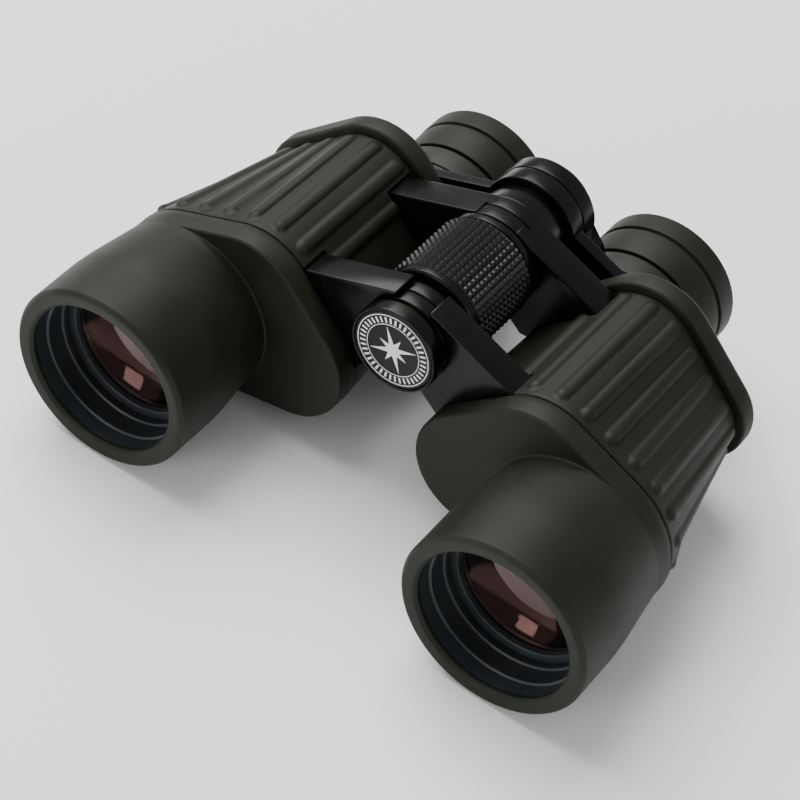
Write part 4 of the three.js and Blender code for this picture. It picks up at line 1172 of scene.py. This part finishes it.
@dataclass
class Eyepiece:
    """Ring, sleeve and fold-down rubber cup of one eyepiece."""

    side: Side
    cup_radius: float = 21.2
    ring_radius: float = 20.0
    sleeve_radius: float = 17.5
    guide_radius: float = 14.6
    cell_room: float = 1.5

    @property
    def turns(self) -> bool:
        """Whether this is the side with the dioptre setting."""
        return self.side is Side.RIGHT

    def build(self) -> None:
        """Makes the cup, the ring and the tubes."""
        side = self.side
        axis, body = side.place(PLACES.eyepiece), side.part("ocular")
        outer = "dioptre" if self.turns else body
        self.cup(axis, outer)
        self.ring(axis, outer)
        for name, node, radius, wall, rides in (
                ("sleeve", "ocular_sleeve", self.sleeve_radius, 1.2, body),
                ("guide", "guide_tube", self.guide_radius, 1.4, side.part("half"))):
            tube = band(radius - wall, radius, PLACES.span(side.part(node)), 0.2, 0.2)
            turn_piece(side.part(name), tube, axis, BLACK_ANODISED, rides, side.part(node))

    def cup(self, axis: Pair, body: str) -> None:
        """Makes the rubber cup with its fold groove, rolled mouth and hollow."""
        side = self.side
        span = PLACES.span(side.part("eyecup"))
        front, rear, top = span.front, span.rear, self.cup_radius
        step = PLACES.span(side.part("lens_cell")).rear + self.cell_room
        bore, hollow, groove = self.sleeve_radius + PLAY, 14.8, top - 0.95
        outline = [(bore, front, 0.0), (self.ring_radius + 0.35, front, 0.35),
                   (top - 0.25, front + 7.4, 2.0), (top - 0.15, front + 9.5, 0.35),
                   (groove, front + 9.8, 0.15), (groove, front + 10.5, 0.15), (top, front + 10.8, 0.35),
                   (top, rear - 0.2, 1.6), (top - 1.4, rear, 0.8), (18.4, rear, 1.2),
                   (16.0, rear - 5.0, 1.0), (hollow, step + 2.2, 0.6), (hollow, step, 0.2),
                   (bore, step, 0.2)]
        turn_piece(side.part("rubber_cup"), outline, axis, ARMOUR_RUBBER, body, side.part("eyecup"),
                   steps=5, sharp=50)

    def ring(self, axis: Pair, body: str) -> None:
        """Makes the ring in front of the cup, with a setting scale where it turns."""
        node = "dioptre_ring" if self.turns else "left_ocular_ring"
        span = PLACES.span(node)
        radius, bore = self.ring_radius, self.sleeve_radius + PLAY
        outline = [(bore, span.front, 0.1), (radius - 0.6, span.front, 0.5),
                   (radius - 0.6, span.front + 2.2, 0.2), (radius, span.front + 2.6, 0.25),
                   (radius, span.rear - 0.8, 0.35), (radius - 0.5, span.rear, 0.2), (bore, span.rear, 0.1)]
        name = "dioptre_setting_ring" if self.turns else "left_fixed_ring"
        turn_piece(name, outline, axis, RING_GRIP, body, node, steps=4)
        if self.turns:
            marks = Bars(9, math.radians(8.0), (0.35, 1.3, 0.06), math.radians(70.0))
            marks.build("dioptre_marks", axis, radius - 0.62, span.front + 1.2, "dioptre")


@dataclass(frozen=True)
class Bars:
    """White marks round an axis along Y; a size is width round it, length along it and height."""

    count: int
    step: float
    size: Triple
    centre: float = QUARTER

    def build(self, name: str, axis: Pair, radius: float, y: float, body: str) -> None:
        """Makes the marks.

        Args:
            name: The piece's name.
            axis: X and Z of the axis.
            radius: Radius that the marks stand on.
            y: Station of their middles.
            body: The moving body that they ride on.
        """
        made = Generator(name)
        number, pitch = made.number("Bars", self.count), made.number("Step", self.step)
        start = made.number("First direction", self.centre - 0.5 * self.step * (self.count - 1))
        reach = made.number("Radius", radius * MM)
        middle = PLACES.to_world(np.array([axis[0], y, axis[1]]))
        bar = add_node(made.tree, "GeometryNodeMeshCube", Size=tuple(c * MM for c in self.size))
        turn = made.math("MULTIPLY_ADD", made.index(), pitch, start)
        marks = made.stand_round(number, turn, reach, [float(c) for c in middle], bar.outputs["Mesh"],
                                 BADGE_INK.build())
        finished(marks, BADGE_INK, body)


@dataclass
class CentreLine:
    """What sits on the hinge axis: end knob with its badge, washer, collar and the bridge's cap."""

    knob_radius: float = 12.9
    badge_radius: float = 11.9
    cap_radius: float = 12.0
    ink_depth: float = 0.05

    def build(self) -> None:
        """Makes the knob, the badge, the washer, the collar and the cap."""
        knob, badge = PLACES.span("end_knob"), PLACES.span("badge_disc")
        washer, collar = PLACES.span("brass_washer"), PLACES.span("axle_collar")
        cap = PLACES.span("hub_cap")
        radius, disc_radius, seat = self.knob_radius, self.badge_radius, knob.front + 1.2
        outline = [(0, seat, 0), (disc_radius + 0.15, seat, 0),
                   (disc_radius + 0.15, knob.front + 0.15, 0.15), (radius - 0.25, knob.front, 0.3),
                   (radius, knob.front + 0.5, 0.4), (radius, knob.rear - 0.5, 0.4),
                   (radius - 0.5, knob.rear, 0.2), (AXLE_BORE, knob.rear, 0),
                   (AXLE_BORE, knob.rear - 2.5, 0), (0, knob.rear - 2.5, 0)]
        turn_piece("hinge_end_knob", outline, HINGE, SATIN_PAINT, "left_half", "end_knob", steps=4)
        face = [(0, badge.front, 0), (disc_radius - 0.25, badge.front, 0),
                (disc_radius, badge.front + 0.2, 0), (disc_radius, badge.rear, 0), (0, badge.rear, 0)]
        turn_piece("badge_face", face, HINGE, BADGE_LACQUER, "left_half", "badge_disc")
        self.print_badge(badge.front)
        turn_piece("hinge_washer", band(AXLE_BORE, radius - 1.8, washer, 0.1, 0.2), HINGE, TURNED_BRASS,
                   "left_half", "brass_washer")
        cone = [(AXLE_BORE, collar.front, 0.1), (13.6, collar.front, 0.5), (12.2, collar.rear, 0.8),
                (AXLE_BORE, collar.rear, 0.1)]
        turn_piece("rear_hinge_collar", cone, HINGE, SATIN_PAINT, "left_half", "axle_collar", steps=5)
        outline = [(0, cap.front, 0), (self.cap_radius, cap.front, 0), (self.cap_radius, cap.rear, 0.9),
                   (9.0, cap.rear, 0.4), (8.4, cap.rear - 0.35, 0.3), (0, cap.rear - 0.35, 0)]
        turn_piece("bridge_hub_cap", outline, HINGE, SATIN_PAINT, "focus_spindle", "hub_cap", steps=5)

    def print_badge(self, y: float) -> None:
        """Prints an abstract compass star inside a ring of marks."""
        ink = Span(y - self.ink_depth, y + self.ink_depth)
        star = []
        for k in range(16):
            reach = (7.4 if k % 4 == 0 else 4.7) if k % 2 == 0 else 1.9
            turn = TAU * k / 16 + math.radians(24.0)
            star.append((reach * math.cos(turn), reach * math.sin(turn)))
        finished(link(prism(star, ink.front, ink.rear, "star"), "badge_star"), BADGE_INK, "left_half")
        for inner, outer, name in ((10.75, 11.0, "badge_outer_line"), (7.9, 8.1, "badge_inner_line")):
            turn_piece(name, band(inner, outer, ink, 0, 0), HINGE, BADGE_INK, "left_half")
        marks = Bars(40, TAU / 40, (0.55, 2 * self.ink_depth, 1.7))
        marks.build("badge_marks", HINGE, 9.4, y, "left_half")


@dataclass
class FocusWheel:
    """Central focusing wheel: two plain rims and a knurled grip sleeve."""

    radius: float = 14.8
    rim: float = 2.4
    around: int = 48
    stud_height: float = 0.7
    grip_wall: float = 0.9

    def build(self) -> None:
        """Makes the wheel body, the sleeve and its knurl."""
        wheel, grip = PLACES.span("focus_wheel"), PLACES.span("wheel_grip")
        y0, y1, bore = wheel.front, wheel.rear, AXLE_BORE
        edge, core = self.radius - 0.2, self.radius - 1.8
        outline = [(bore, y0, 0.3), (edge - 0.4, y0, 0.4), (edge, y0 + 0.5, 0.4),
                   (edge, y0 + self.rim, 0.15), (core, y0 + self.rim, 0), (core, y1 - self.rim, 0),
                   (edge, y1 - self.rim, 0.15), (edge, y1 - 0.5, 0.4), (edge - 0.4, y1, 0.4),
                   (bore, y1, 0.3), (bore, y1 - 4, 0), (bore + 2, y1 - 6, 0), (bore + 2, y0 + 6, 0),
                   (bore, y0 + 4, 0)]
        turn_piece("wheel_body", outline, HINGE, SATIN_PAINT, "focus_wheel", "focus_wheel", steps=4)
        base = self.radius - self.stud_height
        turn_piece("grip_sleeve", band(base - self.grip_wall, base, grip, 0, 0.1), HINGE, GRIP_NYLON,
                   "focus_wheel", "wheel_grip", steps=2)
        pitch = TAU * base / self.around
        rows = round((grip.rear - grip.front) / pitch)
        span = grip.grown(-0.5 * pitch, -0.5 * pitch)
        studs = knurl(base + 0.5 * self.stud_height - 0.03, span, self.around, rows, pitch * 0.95,
                      self.stud_height, GRIP_NYLON.build())
        finished(studs, GRIP_NYLON, "focus_wheel", sharp=20)


# ---- Parts that keep their shape ------------------------------------------------------------------
class InnerParts:
    """Dresses the parts whose own shape is right: prisms, straps, cells, shelves and shafts."""

    finishes: dict[str, Surface] = {
        "rear_prism": PRISM_GLASS, "front_prism": PRISM_GLASS, "rear_prism_strap": GROUND_STEEL,
        "front_prism_strap": GROUND_STEEL, "prism_shelf": BLACK_ANODISED, "lens_cell": BLACK_ANODISED,
        "field_lens": PRISM_GLASS, "eye_lens": LENS_GLASS,
    }
    shafts: tuple[str, ...] = ("hinge_axle", "focus_spindle", "drive_pin")

    def dress(self) -> None:
        """Gives each kept part its material."""
        wanted = {side.part(name): finish for side in Side for name, finish in self.finishes.items()}
        wanted.update({name: GROUND_STEEL for name in self.shafts})
        for node, finish in wanted.items():
            for place in bpy.data.objects[node].material_slots:
                place.link = "OBJECT"
                place.material = finish.build()
            LOG.info("%s keeps its shape and takes %s", node, finish.name)


# ---- Studio ---------------------------------------------------------------------------------------
@dataclass
class Studio:
    """Pale floor, soft lights and the camera."""

    eye: Triple = (237.57, -425.30, 529.44)
    turn: float = 26.547
    tilt: float = 43.721
    roll: float = 11.480
    lens: float = 131.2
    floor_reach: float = 3.0

    def lay_floor(self) -> None:
        """Lays a wide pale sheet under the object."""
        r = self.floor_reach
        mesh = bpy.data.meshes.new("floor")
        mesh.from_pydata([(-r, -r, 0), (r, -r, 0), (r, r, 0), (-r, r, 0)], [], [(0, 1, 2, 3)])
        floor = link(mesh, "floor")
        paper = bpy.data.materials.new("pale_paper")
        paper.use_nodes = True
        shader = paper.node_tree.nodes["Principled BSDF"]
        shader.inputs["Base Color"].default_value = linear("#fbfbfb")
        shader.inputs["Roughness"].default_value = 0.9
        mesh.materials.append(paper)

    def hang_light(self, name: str, place: Triple, size: float, power: float) -> None:
        """Hangs a soft square light that looks at the object.

        Args:
            name: Name of the light.
            place: Where it hangs, in metres.
            size: Length of its side in metres.
            power: Its power in watts.
        """
        lamp = bpy.data.lights.new(name, "AREA")
        lamp.shape, lamp.size, lamp.energy = "SQUARE", size, power
        obj = bpy.data.objects.new(name, lamp)
        obj.location = place
        aim = Vector((0.0, 0.0, 0.03)) - Vector(place)
        obj.rotation_euler = aim.to_track_quat("-Z", "Y").to_euler()
        bpy.context.scene.collection.objects.link(obj)

    def set_world(self) -> None:
        """Sets an even pale surround."""
        world = bpy.data.worlds.new("pale_room")
        world.use_nodes = True
        back = world.node_tree.nodes["Background"]
        back.inputs["Color"].default_value = linear("#ffffff")
        back.inputs["Strength"].default_value = 0.5
        bpy.context.scene.world = world

    def set_camera(self) -> None:
        """Points the camera."""
        data = bpy.data.cameras.new("camera")
        data.lens, data.sensor_width, data.clip_start = self.lens, 36.0, 0.01
        obj = bpy.data.objects.new("camera", data)
        turns = [Matrix.Rotation(math.radians(a), 4, axis)
                 for a, axis in ((self.turn, "Z"), (self.tilt, "X"), (self.roll, "Z"))]
        place = Matrix.Translation(PLACES.to_world(np.array(self.eye)).tolist())
        obj.matrix_world = place @ turns[0] @ turns[1] @ turns[2]
        bpy.context.scene.collection.objects.link(obj)
        bpy.context.scene.camera = obj

    def build(self) -> None:
        """Sets up the whole studio."""
        self.lay_floor()
        self.set_world()
        self.hang_light("key", (-0.7, 0.25, 1.1), 1.2, 34.0)
        self.hang_light("side", (1.2, -0.5, 0.35), 0.5, 2.5)
        self.hang_light("front", (-0.4, -1.2, 0.35), 0.5, 6.0)
        self.set_camera()


def main() -> None:
    """Builds the binoculars and the studio."""
    logging.basicConfig(level=logging.INFO)
    for side in Side:
        arms = HingeArms(side)
        FrontCover(side).build()
        Objective(side).build()
        Armour(side).build(arms)
        arms.build()
        RearCover(side).build()
        BridgeArm(side).build()
        Eyepiece(side).build()
    CentreLine().build()
    FocusWheel().build()
    InnerParts().dress()
    Studio().build()


if __name__ == "__main__":
    main()
